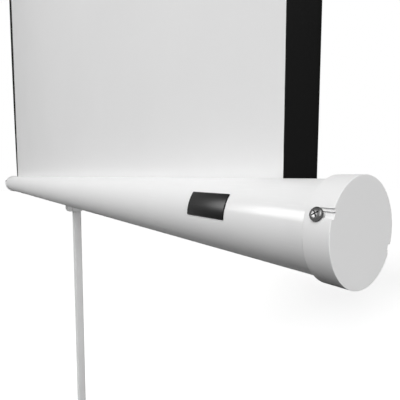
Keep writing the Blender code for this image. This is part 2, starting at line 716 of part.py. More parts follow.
def make_slider(slider, finishes):
    """The sleeve that carries the case on the pole, with its clamp knob's boss and the swivel bolt."""
    centre = STANDOFF
    front = SADDLE_BACK + SWIVEL_GAP
    back = centre + SLIDER_HALF_WIDTH
    wide = SLIDER_HALF_WIDTH
    body = block("case_slider", (-wide, front, -SLIDER_BELOW), (wide, back, SLIDER_ABOVE), slider,
                 finishes["black"], edge=0.0015)
    boss_end = back + KNOB_BOSS_LENGTH
    join(body, rod("slider_boss", (0, back - 0.002, 0), (0, boss_end, 0), KNOB_BOSS_RADIUS, slider,
                   collection=CUTTERS))
    bore = POLE_WIDTH / 2 + GAP
    cut(body, block("slider_bore", (-bore, centre - bore, -0.2), (bore, centre + bore, 0.2), slider,
                    collection=CUTTERS))
    cut(body, rod("slider_thread", (0, centre, 0), (0, 0.2, 0), KNOB_SHANK + GAP, slider, sides=12,
                  collection=CUTTERS))
    cut(body, rod("slider_bolt_hole", (0, 0, 0), (0, centre, 0), BOLT_RADIUS + GAP, slider, sides=20,
                  collection=CUTTERS))
    bolt_end = centre - bore - 0.0002
    head = TUBE_RADIUS + 0.0004
    profile = [
        (0, 0),
        (BOLT_HEAD_RADIUS - 0.0006, 0),
        (BOLT_HEAD_RADIUS, -0.0006),
        (BOLT_HEAD_RADIUS, -BOLT_HEAD_HEIGHT),
        (BOLT_RADIUS, -BOLT_HEAD_HEIGHT),
        (BOLT_RADIUS, head - bolt_end),
        (0, head - bolt_end),
    ]
    turned("swivel_bolt", profile, slider, finishes["steel"], Matrix.Translation((0, head, 0)) @ MINUS_Y,
           steps=20)


def make_saddle(case, finishes):
    """The bracket behind and below the case, hollowed to the tube and bored for the swivel bolt."""
    back, low = SADDLE_BACK, -SADDLE_BELOW
    chamfer = SADDLE_CHAMFER
    outline = [
        (back, low),
        (back, SADDLE_ABOVE),
        (SADDLE_FRONT - SADDLE_STEP, SADDLE_ABOVE),
        (SADDLE_FRONT - SADDLE_STEP, -0.6 * TUBE_RADIUS),
        (SADDLE_FRONT, -TUBE_RADIUS - 0.0013),
        (SADDLE_FRONT, low + chamfer),
        (SADDLE_FRONT + chamfer * 0.6, low),
    ]
    standing = Matrix.Rotation(math.pi / 2, 4, "Z") @ Matrix.Rotation(math.pi / 2, 4, "X")
    body = plate("case_saddle", [outline], 2 * SADDLE_HALF_WIDTH, case, matrix=standing, solid=True)
    body.data.materials.append(finishes["black"])
    cut(body, rod("saddle_hollow", (-0.1, 0, 0), (0.1, 0, 0), TUBE_RADIUS + GAP, case, sides=72,
                  collection=CUTTERS))
    pocket = TUBE_RADIUS + 0.0004 + BOLT_HEAD_HEIGHT + GAP
    cut(body, rod("saddle_pocket", (0, 0.02, 0), (0, pocket, 0), BOLT_HEAD_RADIUS + GAP, case, sides=24,
                  collection=CUTTERS))
    cut(body, rod("saddle_hole", (0, 0.02, 0), (0, SADDLE_BACK + 0.02, 0), BOLT_RADIUS + GAP, case, sides=20,
                  collection=CUTTERS))


def screw_places():
    """The four cap screws: name, side of the case and angle about its axis from the front."""
    for end, sign in (("right", 1), ("left", -1)):
        for face, turn in (("front", 0), ("back", math.pi)):
            yield f"cap_screw_{end}_{face}", sign, CAP_SCREW_ANGLE + turn


def out_of_case(sign, angle, along):
    """A frame on the case's surface: +Z points out of the tube, +X towards the case's end."""
    outward = Vector((0, -math.cos(angle), math.sin(angle)))
    end = Vector((sign, 0, 0))
    side = outward.cross(end)
    matrix = Matrix((end, side, outward)).transposed().to_4x4()
    matrix.translation = Vector((sign * along, 0, 0))
    return matrix


def make_case(case, finishes):
    """The slotted tube, its two caps with their screws, and the bare plate on its front."""
    slot = math.asin(SLOT_BACK / TUBE_RADIUS)
    half_slot = SLOT_WIDTH / 2 / TUBE_RADIUS
    start = math.pi / 2 - slot + half_slot
    stop = start + 2 * math.pi - 2 * half_slot
    lip = LIP_DEPTH / TUBE_RADIUS
    bead = TUBE_INNER - LIP_CURL
    outline = arc(0, 0, TUBE_RADIUS, start, stop, 65)
    outline += [(bead * math.cos(stop), bead * math.sin(stop))]
    outline += [(bead * math.cos(stop - lip), bead * math.sin(stop - lip))]
    outline += arc(0, 0, TUBE_INNER, stop - lip, start + lip, 49)
    outline += [(bead * math.cos(start + lip), bead * math.sin(start + lip))]
    outline += [(bead * math.cos(start), bead * math.sin(start))]
    length = CASE_LENGTH - 2 * (CAP_FACE + GAP)
    standing = Matrix.Rotation(math.pi / 2, 4, "Z") @ Matrix.Rotation(math.pi / 2, 4, "X")
    tube = plate("case_tube", [outline], length, case, matrix=standing, solid=True)
    tube.data.materials.append(finishes["case"])
    for name, sign, angle in screw_places():
        place_at = out_of_case(sign, angle, HALF_CASE - CAP_SCREW_IN)
        cut(tube, rod(name + "_tube_hole", (0, 0, TUBE_RADIUS - 0.01), (0, 0, TUBE_RADIUS + 0.01),
                      SCREW_SHANK_RADIUS + GAP, case, matrix=place_at, sides=12, collection=CUTTERS))
        make_cap_screw(name, case, place_at, finishes)
    for end, sign in (("right", 1), ("left", -1)):
        make_cap(end, sign, case, finishes)

    low, high = PLATE_LOW, PLATE_HIGH
    inner = TUBE_RADIUS + GAP
    band = arc(0, 0, inner + PLATE_THICK, math.pi - high, math.pi - low, 10)
    band += arc(0, 0, inner, math.pi - low, math.pi - high, 10)
    middle = HALF_CASE - PLATE_FROM_END - PLATE_LENGTH / 2
    plate("front_plate", [band], PLATE_LENGTH, case, finishes["gloss"],
          Matrix.Translation((middle, 0, 0)) @ standing)


def make_cap(end, sign, case, finishes):
    """One end cap: a turned cup with a boss for the roller's pin and two notches open at its face."""
    inner = TUBE_RADIUS + GAP
    profile = [
        (0, 0),
        (CAP_RADIUS - CAP_EDGE, 0),
        (CAP_RADIUS - CAP_EDGE * 0.3, -CAP_EDGE * 0.3),
        (CAP_RADIUS, -CAP_EDGE),
        (CAP_RADIUS, -CAP_LENGTH),
        (inner, -CAP_LENGTH),
        (inner, -CAP_FACE),
        (0, -CAP_FACE),
    ]
    facing = Matrix.Translation((sign * HALF_CASE, 0, 0)) @ Matrix.Rotation(sign * math.pi / 2, 4, "Y")
    cap = turned(f"case_cap_{end}", profile, case, finishes["case"], facing, steps=54)
    roller_y = ROLLER_Y - CASE_Y
    face = HALF_CASE - CAP_FACE
    join(cap, rod(f"cap_boss_{end}", (sign * (face + 0.001), roller_y, 0),
                  (sign * (face - CAP_BOSS_LENGTH), roller_y, 0), CAP_BOSS_RADIUS, case,
                  sides=20, collection=CUTTERS))
    cut(cap, rod(f"cap_pin_hole_{end}", (sign * (face - 0.001), roller_y, 0), (sign * (face - 0.05), roller_y, 0),
                 PIN_RADIUS + GAP, case, sides=16, collection=CUTTERS))
    for name, side, angle in screw_places():
        if side != sign:
            continue
        matrix = out_of_case(sign, angle, HALF_CASE - CAP_SCREW_IN)
        half = NOTCH_WIDTH / 2
        cut(cap, block(name + "_notch", (0, -half, inner - 0.0002), (0.02, half, 0.05), case,
                       matrix=matrix, collection=CUTTERS))
        cut(cap, rod(name + "_notch_end", (0, 0, inner - 0.0002), (0, 0, 0.05), half * 0.998, case,
                     matrix=matrix, sides=16, collection=CUTTERS))


def make_cap_screw(name, case, matrix, finishes):
    """A pan-head screw with a cross recess, seated on the cap over its notch."""
    base = CAP_RADIUS + GAP
    top = base + SCREW_HEAD_HEIGHT
    radius = SCREW_HEAD_RADIUS
    profile = [
        (0, top),
        (radius * 0.45, top - 0.0001),
        (radius * 0.80, top - 0.0006),
        (radius, top - 0.0014),
        (radius, base),
        (SCREW_SHANK_RADIUS, base),
        (SCREW_SHANK_RADIUS, base - SCREW_LENGTH),
        (0, base - SCREW_LENGTH),
    ]
    screw = turned(name, profile, case, finishes["steel"], matrix, steps=16)
    for turn in (0, math.pi / 2):
        half, span = CROSS_WIDTH / 2, CROSS_SPAN / 2
        cut(screw, block(f"{name}_cross_{turn:.0f}", (-span, -half, top - CROSS_DEPTH),
                         (span, half, top + 0.01), case,
                         matrix=matrix @ Matrix.Rotation(turn + math.pi / 4, 4, "Z"), collection=CUTTERS))


def make_handle(case, finishes):
    """The carry handle on the case's back: a round grip on two feet hollowed to the tube."""
    lean = Matrix.Rotation(-HANDLE_LEAN, 4, "X")
    half = HANDLE_SPAN / 2
    low, high = HANDLE_MOUNT_TOP + GAP, HANDLE_RISE
    bend = HANDLE_BEND
    path = [(-half, 0, low)]
    path += [(x, 0, z) for x, z in arc(-half + bend, high - bend, bend, math.pi, math.pi / 2, 7)]
    path += [(x, 0, z) for x, z in arc(half - bend, high - bend, bend, math.pi / 2, 0, 7)]
    path += [(half, 0, low)]
    at = Matrix.Translation((HANDLE_CENTRE, 0, 0))
    wire("carry_handle", path, HANDLE_GRIP, case, finishes["black"], lean @ at, resolution=4)
    for end, sign in (("right", 1), ("left", -1)):
        wide, deep = HANDLE_MOUNT_LENGTH / 2, HANDLE_MOUNT_WIDTH / 2
        matrix = lean @ at @ Matrix.Translation((sign * half, 0, 0))
        foot = block(f"handle_foot_{end}", (-wide, -deep, TUBE_RADIUS - 0.008), (wide, deep, HANDLE_MOUNT_TOP),
                     case, finishes["black"], matrix, edge=HANDLE_MOUNT_EDGE)
        cut(foot, rod(f"handle_foot_hollow_{end}", (-0.1, 0, 0), (0.1, 0, 0), TUBE_RADIUS + GAP, case,
                      matrix=matrix, sides=72, collection=CUTTERS))


def make_roller(case, roller, finishes):
    """The roller tube with its plugs, the idle pin, the spring's shaft and the spring."""
    radius, inner = ROLLER_RADIUS, ROLLER_RADIUS - ROLLER_WALL
    half = HALF_ROLLER - PLUG_FLANGE - GAP
    along = X_AXIS
    profile = [(radius, half), (radius, -half), (inner, -half), (inner, half)]
    turned("roller_tube", profile, roller, finishes["case"], along, steps=28)
    bore = PIN_RADIUS + GAP
    for end, sign in (("right", 1), ("left", -1)):
        profile = [
            (bore, HALF_ROLLER),
            (radius, HALF_ROLLER),
            (radius, HALF_ROLLER - PLUG_FLANGE),
            (inner - GAP, HALF_ROLLER - PLUG_FLANGE),
            (inner - GAP, HALF_ROLLER - PLUG_FLANGE - PLUG_INSERT),
            (bore, HALF_ROLLER - PLUG_FLANGE - PLUG_INSERT),
        ]
        turned(f"roller_plug_{end}", profile, roller, finishes["black"],
               Matrix.Rotation(sign * math.pi / 2, 4, "Y"), steps=20)

    y = ROLLER_Y - CASE_Y
    outer_end = HALF_CASE - CAP_FACE - 0.001 - GAP
    idle_end = HALF_ROLLER - PLUG_FLANGE - PLUG_INSERT
    rod("idle_pin", (-outer_end, y, 0), (-idle_end, y, 0), PIN_RADIUS, case, finishes["steel"], sides=16)
    shaft_end = outer_end - SPRING_SHAFT_LENGTH
    shaft = rod("spring_shaft", (outer_end, y, 0), (shaft_end, y, 0), PIN_RADIUS, case, finishes["steel"],
                sides=16)
    anchor = SPRING_RADIUS + SPRING_WIRE
    join(shaft, rod("shaft_anchor", (shaft_end, y, 0), (shaft_end + 0.006, y, 0), anchor, case,
                    sides=20, collection=CUTTERS))
    start = shaft_end + 0.006 + GAP + SPRING_WIRE
    points = []
    per_turn = 8
    for i in range(SPRING_TURNS * per_turn + 1):
        angle = 2 * math.pi * i / per_turn
        x = start + SPRING_PITCH * i / per_turn
        points.append((x, y + SPRING_RADIUS * math.cos(angle), SPRING_RADIUS * math.sin(angle)))
    wire("roller_spring", points, SPRING_WIRE, case, finishes["steel"], resolution=1)


def bar_outline(grow=0.0, groove=True):
    """The top bar's section, in Y and Z from the middle of its underside."""
    half, high = BAR_WIDTH / 2 + grow, BAR_HEIGHT + grow
    corner = BAR_CORNER
    low = -grow
    outline = [(half, low + BAR_FOOT), (half, high - corner)]
    outline += arc(half - corner, high - corner, corner, 0, math.pi / 2, 6)[1:]
    outline += arc(-half + corner, high - corner, corner, math.pi / 2, math.pi, 6)
    outline += [(-half, low + BAR_FOOT), (-half + BAR_FOOT, low)]
    if groove:
        slit = GROOVE_WIDTH / 2
        outline += [(-slit, low), (-slit, GROOVE_DEPTH), (slit, GROOVE_DEPTH), (slit, low)]
    return outline + [(half - BAR_FOOT, low)]


def bar_hollow():
    """The chamber over the groove in the top bar's section."""
    half, high, low = BAR_WIDTH / 2 - BAR_WALL, BAR_HEIGHT - BAR_WALL, GROOVE_DEPTH + BAR_WALL
    corner = BAR_CORNER - BAR_WALL
    outline = [(-half, low), (half, low), (half, high - corner)]
    outline += arc(half - corner, high - corner, corner, 0, math.pi / 2, 5)[1:]
    return outline + arc(-half + corner, high - corner, corner, math.pi / 2, math.pi, 5)


def make_screen(case, bar, bail, finishes):
    """The sheet, and the bar along its top with end caps, the bail's bracket and the bail."""
    foot = 0.0
    top = FABRIC_RISE + TUBE_RADIUS + GROOVE_DEPTH - GAP
    thick = FABRIC_THICK / 2
    block("screen_fabric", (-HALF_FABRIC, SLOT_BACK - thick, foot), (HALF_FABRIC, SLOT_BACK + thick, top),
          case, finishes["fabric"])

    standing = Matrix.Rotation(math.pi / 2, 4, "Z") @ Matrix.Rotation(math.pi / 2, 4, "X")
    length = 2 * (HALF_FABRIC + BAR_OVERHANG)
    plate("top_bar", [bar_outline(), bar_hollow()], length, bar, finishes["case"], standing)
    for end, sign in (("right", 1), ("left", -1)):
        middle = sign * (length / 2 + GAP + BAR_CAP_LENGTH / 2)
        plate(f"bar_cap_{end}", [bar_outline(BAR_CAP_PROUD, groove=False)], BAR_CAP_LENGTH, bar,
              finishes["black"], Matrix.Translation((middle, 0, 0)) @ standing)

    seat = BAR_HEIGHT + GAP
    wide = BAIL_LUG + BAIL_LUG_THICK / 2
    deep = BAIL_LUG_HALF
    bracket = block("bail_bracket", (-wide, -deep, seat), (wide, deep, seat + BRACKET_BASE), bar,
                    finishes["steel"])
    lug_top = BAR_HEIGHT + BAIL_PIVOT_RISE
    for end, sign in (("right", 1), ("left", -1)):
        near, far = sorted((sign * (BAIL_LUG - BAIL_LUG_THICK / 2), sign * wide))
        join(bracket, block(f"bail_lug_{end}", (near, -deep, seat + BRACKET_BASE / 2), (far, deep, lug_top),
                            bar, collection=CUTTERS))
        join(bracket, rod(f"bail_lug_top_{end}", (near, 0, lug_top), (far, 0, lug_top), deep, bar,
                          sides=16, collection=CUTTERS))
    cut(bracket, rod("bail_holes", (-0.05, 0, lug_top), (0.05, 0, lug_top), BAIL_WIRE + GAP, bar,
                     sides=12, collection=CUTTERS))

    bend = 0.005
    turn_in = BAIL_LUG - BAIL_LUG_THICK / 2 - 0.001
    length = math.hypot(BAIL_BACK, BAIL_UP)
    side = [(x, z) for x, z in arc(BAIL_HALF - bend, bend, bend, -math.pi / 2, 0, 5)]
    side += [(x, z) for x, z in arc(BAIL_HALF - bend, length - bend, bend, 0, math.pi / 2, 5)]
    path = [(turn_in, 0)] + side
    path += [(-x, z) for x, z in reversed(path)]
    lean = Matrix.Rotation(-math.atan2(BAIL_BACK, BAIL_UP), 4, "X")
    wire("bail", [(x, 0, z) for x, z in path], BAIL_WIRE, bail, finishes["steel"], lean)


def build():
    """Make the frames of all bodies, then the pieces that each carries."""
    start_scene()
    finishes = {
        "case": make_material("case_paint", (0.86, 0.86, 0.86), 0.35, 0.0),
        "fabric": make_material("screen_fabric", (0.85, 0.85, 0.85), 0.9, 0.0),
        "gloss": make_material("black_gloss", (0.02, 0.02, 0.02), 0.25, 0.0),
        "pole": make_material("grey_paint", (0.62, 0.62, 0.62), 0.4, 0.3),
        "black": make_material("black_plastic", (0.35, 0.35, 0.35), 0.5, 0.0),
        "grey": make_material("grey_plastic", (0.45, 0.45, 0.45), 0.5, 0.0),
        "rubber": make_material("rubber", (0.05, 0.05, 0.05), 0.8, 0.0),
        "steel": make_material("steel", (0.70, 0.70, 0.70), 0.25, 1.0),
    }
    stand = make_frame("stand", (0, POLE_Y, 0))
    extension = make_frame("extension", (0, POLE_Y, EXTENSION_TOP), stand)
    collar = make_frame("collar", (0, POLE_Y, COLLAR_Z), stand)
    slider = make_frame("slider", (0, CASE_Y, CASE_HEIGHT), stand)
    case = make_frame("case", (0, CASE_Y, CASE_HEIGHT), slider)
    roller = make_frame("roller", (0, ROLLER_Y, CASE_HEIGHT), case)
    bar = make_frame("bar", (0, SLOT_Y, BAR_LOW), case)
    bail = make_frame("bail_pivot", (0, SLOT_Y, BAIL_PIVOT_Z), bar)
    lever_out = TOP_COLLAR_HALF + LEVER_OUT
    lever_z = POLE_TOP + TOP_COLLAR_RISE / 2 - TOP_COLLAR_HEIGHT / 2
    lever = make_frame("lever_pivot", (0, POLE_Y + lever_out, lever_z), stand)

    make_poles(stand, extension, finishes)
    make_ring(stand, finishes)
    make_collar(collar, finishes)
    for side, azimuth in LEG_AZIMUTHS.items():
        outward = Vector((math.cos(azimuth), math.sin(azimuth), 0))
        pivot = Vector((0, POLE_Y, COLLAR_Z)) + PIVOT_RADIUS * outward
        leg = make_frame(f"leg_{side}_pivot", pivot, collar, leg_frame_matrix(azimuth))
        make_leg(side, leg, finishes)
        down = outward * math.sin(OPEN_ANGLE) - Vector((0, 0, math.cos(OPEN_ANGLE)))
        turn = Matrix.Rotation(azimuth, 4, "Z") @ Matrix.Rotation(OPEN_ANGLE, 4, "Y")
        brace = make_frame(f"brace_{side}_pivot", pivot + BRACE_LENGTH * down, leg, turn)
        make_brace(side, brace, finishes)
    make_top_collar(stand, lever, finishes)
    make_head(extension, finishes)
    make_slider(slider, finishes)
    make_saddle(case, finishes)
    make_case(case, finishes)
    make_handle(case, finishes)
    make_roller(case, roller, finishes)
    make_screen(case, bar, bail, finishes)

    seat = COLLAR_RADIUS + KNOB_BOSS_LENGTH + RUN
    knob = make_frame("collar_knob_axis", (seat, POLE_Y, COLLAR_Z + COLLAR_KNOB_RISE), collar, X_AXIS)
    star_knob("collar_knob", knob, finishes["grey"], None, seat - POLE_WIDTH / 2 - GAP)
    seat = POLE_Y + SLIDER_HALF_WIDTH + KNOB_BOSS_LENGTH + RUN
    knob = make_frame("slider_knob_axis", (0, seat, CASE_HEIGHT), slider, PLUS_Y)
    star_knob("slider_knob", knob, finishes["grey"], None, seat - POLE_Y - POLE_WIDTH / 2 - GAP)


build()
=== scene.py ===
"""Looks of the tripod projector screen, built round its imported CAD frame.

New surfaces are grids or profiles worked out with numpy, in metres, in the frame's own place.
"""

import math

import bmesh
import bpy
import numpy as np
from mathutils import Matrix, Vector


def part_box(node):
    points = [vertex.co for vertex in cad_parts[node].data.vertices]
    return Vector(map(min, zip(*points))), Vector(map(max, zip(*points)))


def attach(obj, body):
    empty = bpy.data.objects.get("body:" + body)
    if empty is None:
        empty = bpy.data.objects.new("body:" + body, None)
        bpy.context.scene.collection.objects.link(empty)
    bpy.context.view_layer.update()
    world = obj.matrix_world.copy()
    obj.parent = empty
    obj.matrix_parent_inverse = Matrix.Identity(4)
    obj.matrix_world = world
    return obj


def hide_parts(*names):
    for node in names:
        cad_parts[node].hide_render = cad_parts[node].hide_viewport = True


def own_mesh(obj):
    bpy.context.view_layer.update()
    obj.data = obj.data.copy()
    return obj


# Sizes that the looks share with the CAD
TUBE_WALL = 0.0015
SLOT_BACK = 0.008
SLOT_WIDTH = 0.006
CAP_FACE = 0.0030
NOTCH_HALF = 0.0031
SCREW_IN = 0.0098
SCREW_ANGLE = math.radians(20.8)
SCREW_RADIUS = 0.0043
SCREW_HEIGHT = 0.0022
SCREW_LENGTH = 0.0075
PLATE_LOW = math.radians(0.5)
PLATE_HIGH = math.radians(37.5)
PLATE_THICK = 0.0008
GAP = 0.0003
POLE_WALL = 0.0012
HANDLE_LEAN = math.radians(50)
HANDLE_BEND = 0.018
BAIL_BACK = 0.019
BAIL_UP = 0.040
BAIL_HALF = 0.016
BAIL_WIRE = 0.0020
FOOT_RADIUS = 0.0125
FOOT_FLAT = 0.0010
FOOT_LENGTH = 0.028
KNOB_HEIGHT = 0.015
OPEN_ANGLE = math.radians(62)
LEG_AZIMUTHS = {
    "front_right": math.radians(-30),
    "front_left": math.radians(210),
    "rear": math.radians(90),
}

# Forms that only the looks have
CAP_EDGE = 0.0002
CAP_BACK_EDGE = 0.0007
LIP_WIDTH = 0.0034
LIP_DROP = 0.0007
LIP_ROLL = 0.0011
TUBE_END_EDGE = 0.0003
NOTCH_END = 0.0129
NOTCH_TURN = math.radians(2.3)
SHELF_WIDTH = 0.0017
SHELF_RISE = 0.0013
SCREW_TURN = math.radians(32)
CROSS_ARM = 0.00045
CROSS_SPAN = 0.0022
CROSS_DEPTH = 0.00115
CROSS_SLOPE = 0.0006
PLATE_EDGE = 0.0005
BORDER = 0.0309
FLOOR_SIZE = 60

# The unit of coat's bump
MILLIMETRE = 0.001

# Angles of CAD edges: up to the first they are dissolved, past the others rounded and kept sharp
FLAT_ANGLE = math.radians(0.6)
ROUNDED_ANGLE = math.radians(28)
SHARP_ANGLE = math.radians(60)

# Tones and strengths that the finishes have in common, from 0 to 1
ROUGH_DRIFT = 0.06
DUST_TONE = 0.72
SCUFF_LIFT = 0.25
SCUFF_ROUGH = 0.3
COAT_RELIEF = 0.6
WEAVE_RELIEF = 0.35

# Camera of the photo, measured from the middle of the case's axis
CAMERA_FROM_CASE = (0.94107, -0.19981, 0.03492)
CAMERA_AZIMUTH = math.radians(54.54)
CAMERA_PITCH = math.radians(4.11)
CAMERA_LENS = 30.05

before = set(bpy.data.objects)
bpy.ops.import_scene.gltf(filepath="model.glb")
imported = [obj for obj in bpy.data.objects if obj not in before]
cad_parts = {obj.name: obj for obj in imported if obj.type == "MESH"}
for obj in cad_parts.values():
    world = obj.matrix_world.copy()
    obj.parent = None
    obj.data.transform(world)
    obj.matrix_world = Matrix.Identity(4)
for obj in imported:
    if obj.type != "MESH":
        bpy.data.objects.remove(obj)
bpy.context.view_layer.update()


def box(node):
    """The lowest and highest corner of a CAD node, as arrays."""
    low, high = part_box(node)
    return np.array(low), np.array(high)


tube_low, tube_high = box("case_tube")
cap_low, cap_high = box("case_cap_right")
CASE_Y = float(tube_low[1] + tube_high[1]) / 2
CASE_Z = float(tube_low[2] + tube_high[2]) / 2
TUBE_RADIUS = float(tube_high[2] - tube_low[2]) / 2
HALF_TUBE = float(tube_high[0])
CAP_RADIUS = float(cap_high[2] - cap_low[2]) / 2
HALF_CASE = float(cap_high[0])
CAP_LENGTH = float(cap_high[0] - cap_low[0])
sheet_low, sheet_high = box("screen_fabric")
HALF_SHEET = float(sheet_high[0])
SHEET_Y = float(sheet_low[1] + sheet_high[1]) / 2
SHEET_FOOT = float(sheet_low[2])
SHEET_TOP = float(sheet_high[2])
SHEET_THICK = float(sheet_high[1] - sheet_low[1])


# Surfaces


def add_item(name, data):
    """A scene object that holds a mesh, a lamp or a camera."""
    item = bpy.data.objects.new(name, data)
    bpy.context.scene.collection.objects.link(item)
    return item


def closed_mesh(name, vertices, faces, sharp=35, weld=1e-7):
    """A mesh object with doubles merged, faces turned outwards and edges sharp past an angle."""
    mesh = bpy.data.meshes.new(name)
    mesh.from_pydata(np.asarray(vertices, float).tolist(), [], faces)
    shape = bmesh.new()
    shape.from_mesh(mesh)
    bmesh.ops.remove_doubles(shape, verts=shape.verts, dist=weld)
    bmesh.ops.dissolve_degenerate(shape, dist=weld, edges=shape.edges)
    bmesh.ops.recalc_face_normals(shape, faces=shape.faces)
    shape.to_mesh(mesh)
    shape.free()
    mesh.shade_smooth()
    mesh.set_sharp_from_angle(angle=math.radians(sharp))
    return add_item(name, mesh)


def grid_faces(rows, columns, close_rows=False, close_columns=False):
    """Quads between neighbours on a grid of rows by columns, as index lists."""
    i = np.arange(rows if close_rows else rows - 1)[:, None]
    j = np.arange(columns if close_columns else columns - 1)[None, :]
    i2, j2 = (i + 1) % rows, (j + 1) % columns
    quads = np.stack([i * columns + j, i * columns + j2, i2 * columns + j2, i2 * columns + j], axis=-1)
    return quads.reshape(-1, 4).tolist()


def skin(name, points, matrix, close_rows=False, close_columns=True, ends=True, **settings):
    """A solid skin over points[row, column, xyz], which a matrix puts in place. Its first and last rows are
    closed by one face each, or joined."""
    points = np.asarray(points, float)
    rows, columns = points.shape[:2]
    turn = np.array(matrix)
    flat = points.reshape(-1, 3) @ turn[:3, :3].T + turn[:3, 3]
    faces = grid_faces(rows, columns, close_rows, close_columns)
    if ends and not close_rows:
        faces.append(list(range(columns)))
        faces.append(list(range((rows - 1) * columns, rows * columns)))
    return closed_mesh(name, flat, faces, **settings)


def turned(name, profile, matrix, sides, shape=None):
    """A profile of (radius, height) points turned about Z: x = r cos a, y = r sin a.
    A function shape(r, z, a) may move the points first."""
    r, z = np.array(profile, float).T
    a = np.linspace(0, 2 * np.pi, sides, endpoint=False)
    r, z, a = np.broadcast_arrays(r[None, :], z[None, :], a[:, None])
    if shape:
        r, z, a = shape(r, z, a)
    points = np.stack([r * np.cos(a), r * np.sin(a), z], axis=-1)
    return skin(name, points, matrix, close_rows=True, close_columns=False, ends=False)


def inset(outline, depth):
    """A closed outline moved inwards by depth along the mean of its two neighbouring sides' normals."""
    outline = np.asarray(outline, float)
    ahead = np.roll(outline, -1, axis=0) - outline
    behind = outline - np.roll(outline, 1, axis=0)
    ahead /= np.linalg.norm(ahead, axis=1, keepdims=True)
    behind /= np.linalg.norm(behind, axis=1, keepdims=True)
    along = ahead + behind
    along /= np.linalg.norm(along, axis=1, keepdims=True)
    normal = np.stack([-along[:, 1], along[:, 0]], axis=1)
    spread = np.clip(np.sum(ahead * behind, axis=1), -0.5, 1)
    area = np.sum(outline[:, 0] * np.roll(outline[:, 1], -1) - outline[:, 1] * np.roll(outline[:, 0], -1))
    return outline + math.copysign(1, area) * normal * depth / np.sqrt((1 + spread) / 2)[:, None]


def prism(name, outline, low, high, matrix, edge, steps):
    """An outline carried along Z from low to high. Its two ends are rounded: inset = edge (1 - sin t)."""
    t = np.linspace(0, np.pi / 2, steps + 1)
    insets = edge * (1 - np.sin(t))
    rises = edge * (1 - np.cos(t))
    stations = [(low + rise, deep) for rise, deep in zip(rises, insets)]
    stations += [(high - rise, deep) for rise, deep in zip(rises[::-1], insets[::-1])]
    rows = []
    for height, deep in stations:
        flat = inset(outline, deep)
        rows.append(np.column_stack([flat, np.full(len(flat), height)]))
    return skin(name, rows, matrix)


def arc(x, y, radius, start, end, count):
    """Points on an arc: x + r cos a, y + r sin a."""
    a = np.linspace(start, end, count)
    return np.column_stack([x + radius * np.cos(a), y + radius * np.sin(a)])


def rounded_square(half, corner, count=9):
    """A square about the origin with round corners, anticlockwise."""
    middle = half - corner
    quarter = np.pi / 2
    signs = ((1, 1), (-1, 1), (-1, -1), (1, -1))
    parts = [
        arc(sx * middle, sy * middle, corner, k * quarter, (k + 1) * quarter, count)
        for k, (sx, sy) in enumerate(signs)
    ]
    return np.concatenate(parts)


def swept(name, path, radius, sides, matrix):
    """A round rod along a path in a plane: rings of radius r, square to the path's own direction."""
    path = np.asarray(path, float)
    ahead = np.gradient(path, axis=0)
    ahead /= np.linalg.norm(ahead, axis=1, keepdims=True)
    across = np.cross(path[1] - path[0], path[len(path) // 2] - path[0])
    across /= np.linalg.norm(across)
    side = np.cross(ahead, across)
    a = np.linspace(0, 2 * np.pi, sides, endpoint=False)[None, :, None]
    radius = np.broadcast_to(np.asarray(radius, float), len(path))[:, None, None]
    rings = path[:, None] + radius * (side[:, None] * np.cos(a) + across[None, None] * np.sin(a))
    return skin(name, rings, matrix)


def softened(node, edge):
    """A copy of a CAD node with its triangles merged, its flats joined and its edges rounded."""
    shape = bmesh.new()
    shape.from_mesh(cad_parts[node].data)
    bmesh.ops.remove_doubles(shape, verts=shape.verts, dist=1e-6)
    bmesh.ops.dissolve_limit(
        shape, angle_limit=FLAT_ANGLE, verts=shape.verts, edges=shape.edges, delimit=set()
    )
    mesh = bpy.data.meshes.new(node + "_finished")
    shape.to_mesh(mesh)
    shape.free()
    mesh.shade_smooth()
    item = add_item(node + "_finished", mesh)
    rounding = item.modifiers.new("rounding", "BEVEL")
    rounding.width = edge
    rounding.segments = 3
    rounding.limit_method = "ANGLE"
    rounding.angle_limit = ROUNDED_ANGLE
    rounding.harden_normals = True
    mesh.set_sharp_from_angle(angle=SHARP_ANGLE)
    return item


# Materials


FLOAT = "NodeSocketFloat"
VECTOR = "NodeSocketVector"


def new_group(name, inputs, outputs):
    """A node group with its in and out nodes, from (name, kind, value) inputs and the outputs' names."""
    group = bpy.data.node_groups.new(name, "ShaderNodeTree")
    for label, kind, value in inputs:
        item = group.interface.new_socket(name=label, in_out="INPUT", socket_type=kind)
        item.default_value = value
    for label in outputs:
        group.interface.new_socket(name=label, in_out="OUTPUT", socket_type=FLOAT)
    return group, group.nodes.new("NodeGroupInput"), group.nodes.new("NodeGroupOutput")


def set_inputs(node, **values):
    """Sets a node's inputs by their names, with _ for each blank."""
    for name, value in values.items():
        node.inputs[name.replace("_", " ")].default_value = value


def object_place(tree):
    """Object coordinates."""
    return tree.nodes.new("ShaderNodeTexCoord").outputs["Object"]


def split_xyz(tree, vector):
    """The outputs X, Y and Z of a vector."""
    node = tree.nodes.new("ShaderNodeSeparateXYZ")
    tree.links.new(vector, node.inputs[0])
    return node.outputs


def clamped(tree, value):
    """A value held between 0 and 1."""
    node = tree.nodes.new("ShaderNodeClamp")
    tree.links.new(value, node.inputs[0])
    return node.outputs[0]


def math_node(tree, operation, first, second=None):
    """A Math node fed by sockets or numbers. Returns its output."""
    node = tree.nodes.new("ShaderNodeMath")
    node.operation = operation
    for place, value in enumerate((first, second)):
        if value is None:
            continue
        if isinstance(value, (int, float)):
            node.inputs[place].default_value = value
        else:
            tree.links.new(value, node.inputs[place])
    return node.outputs[0]


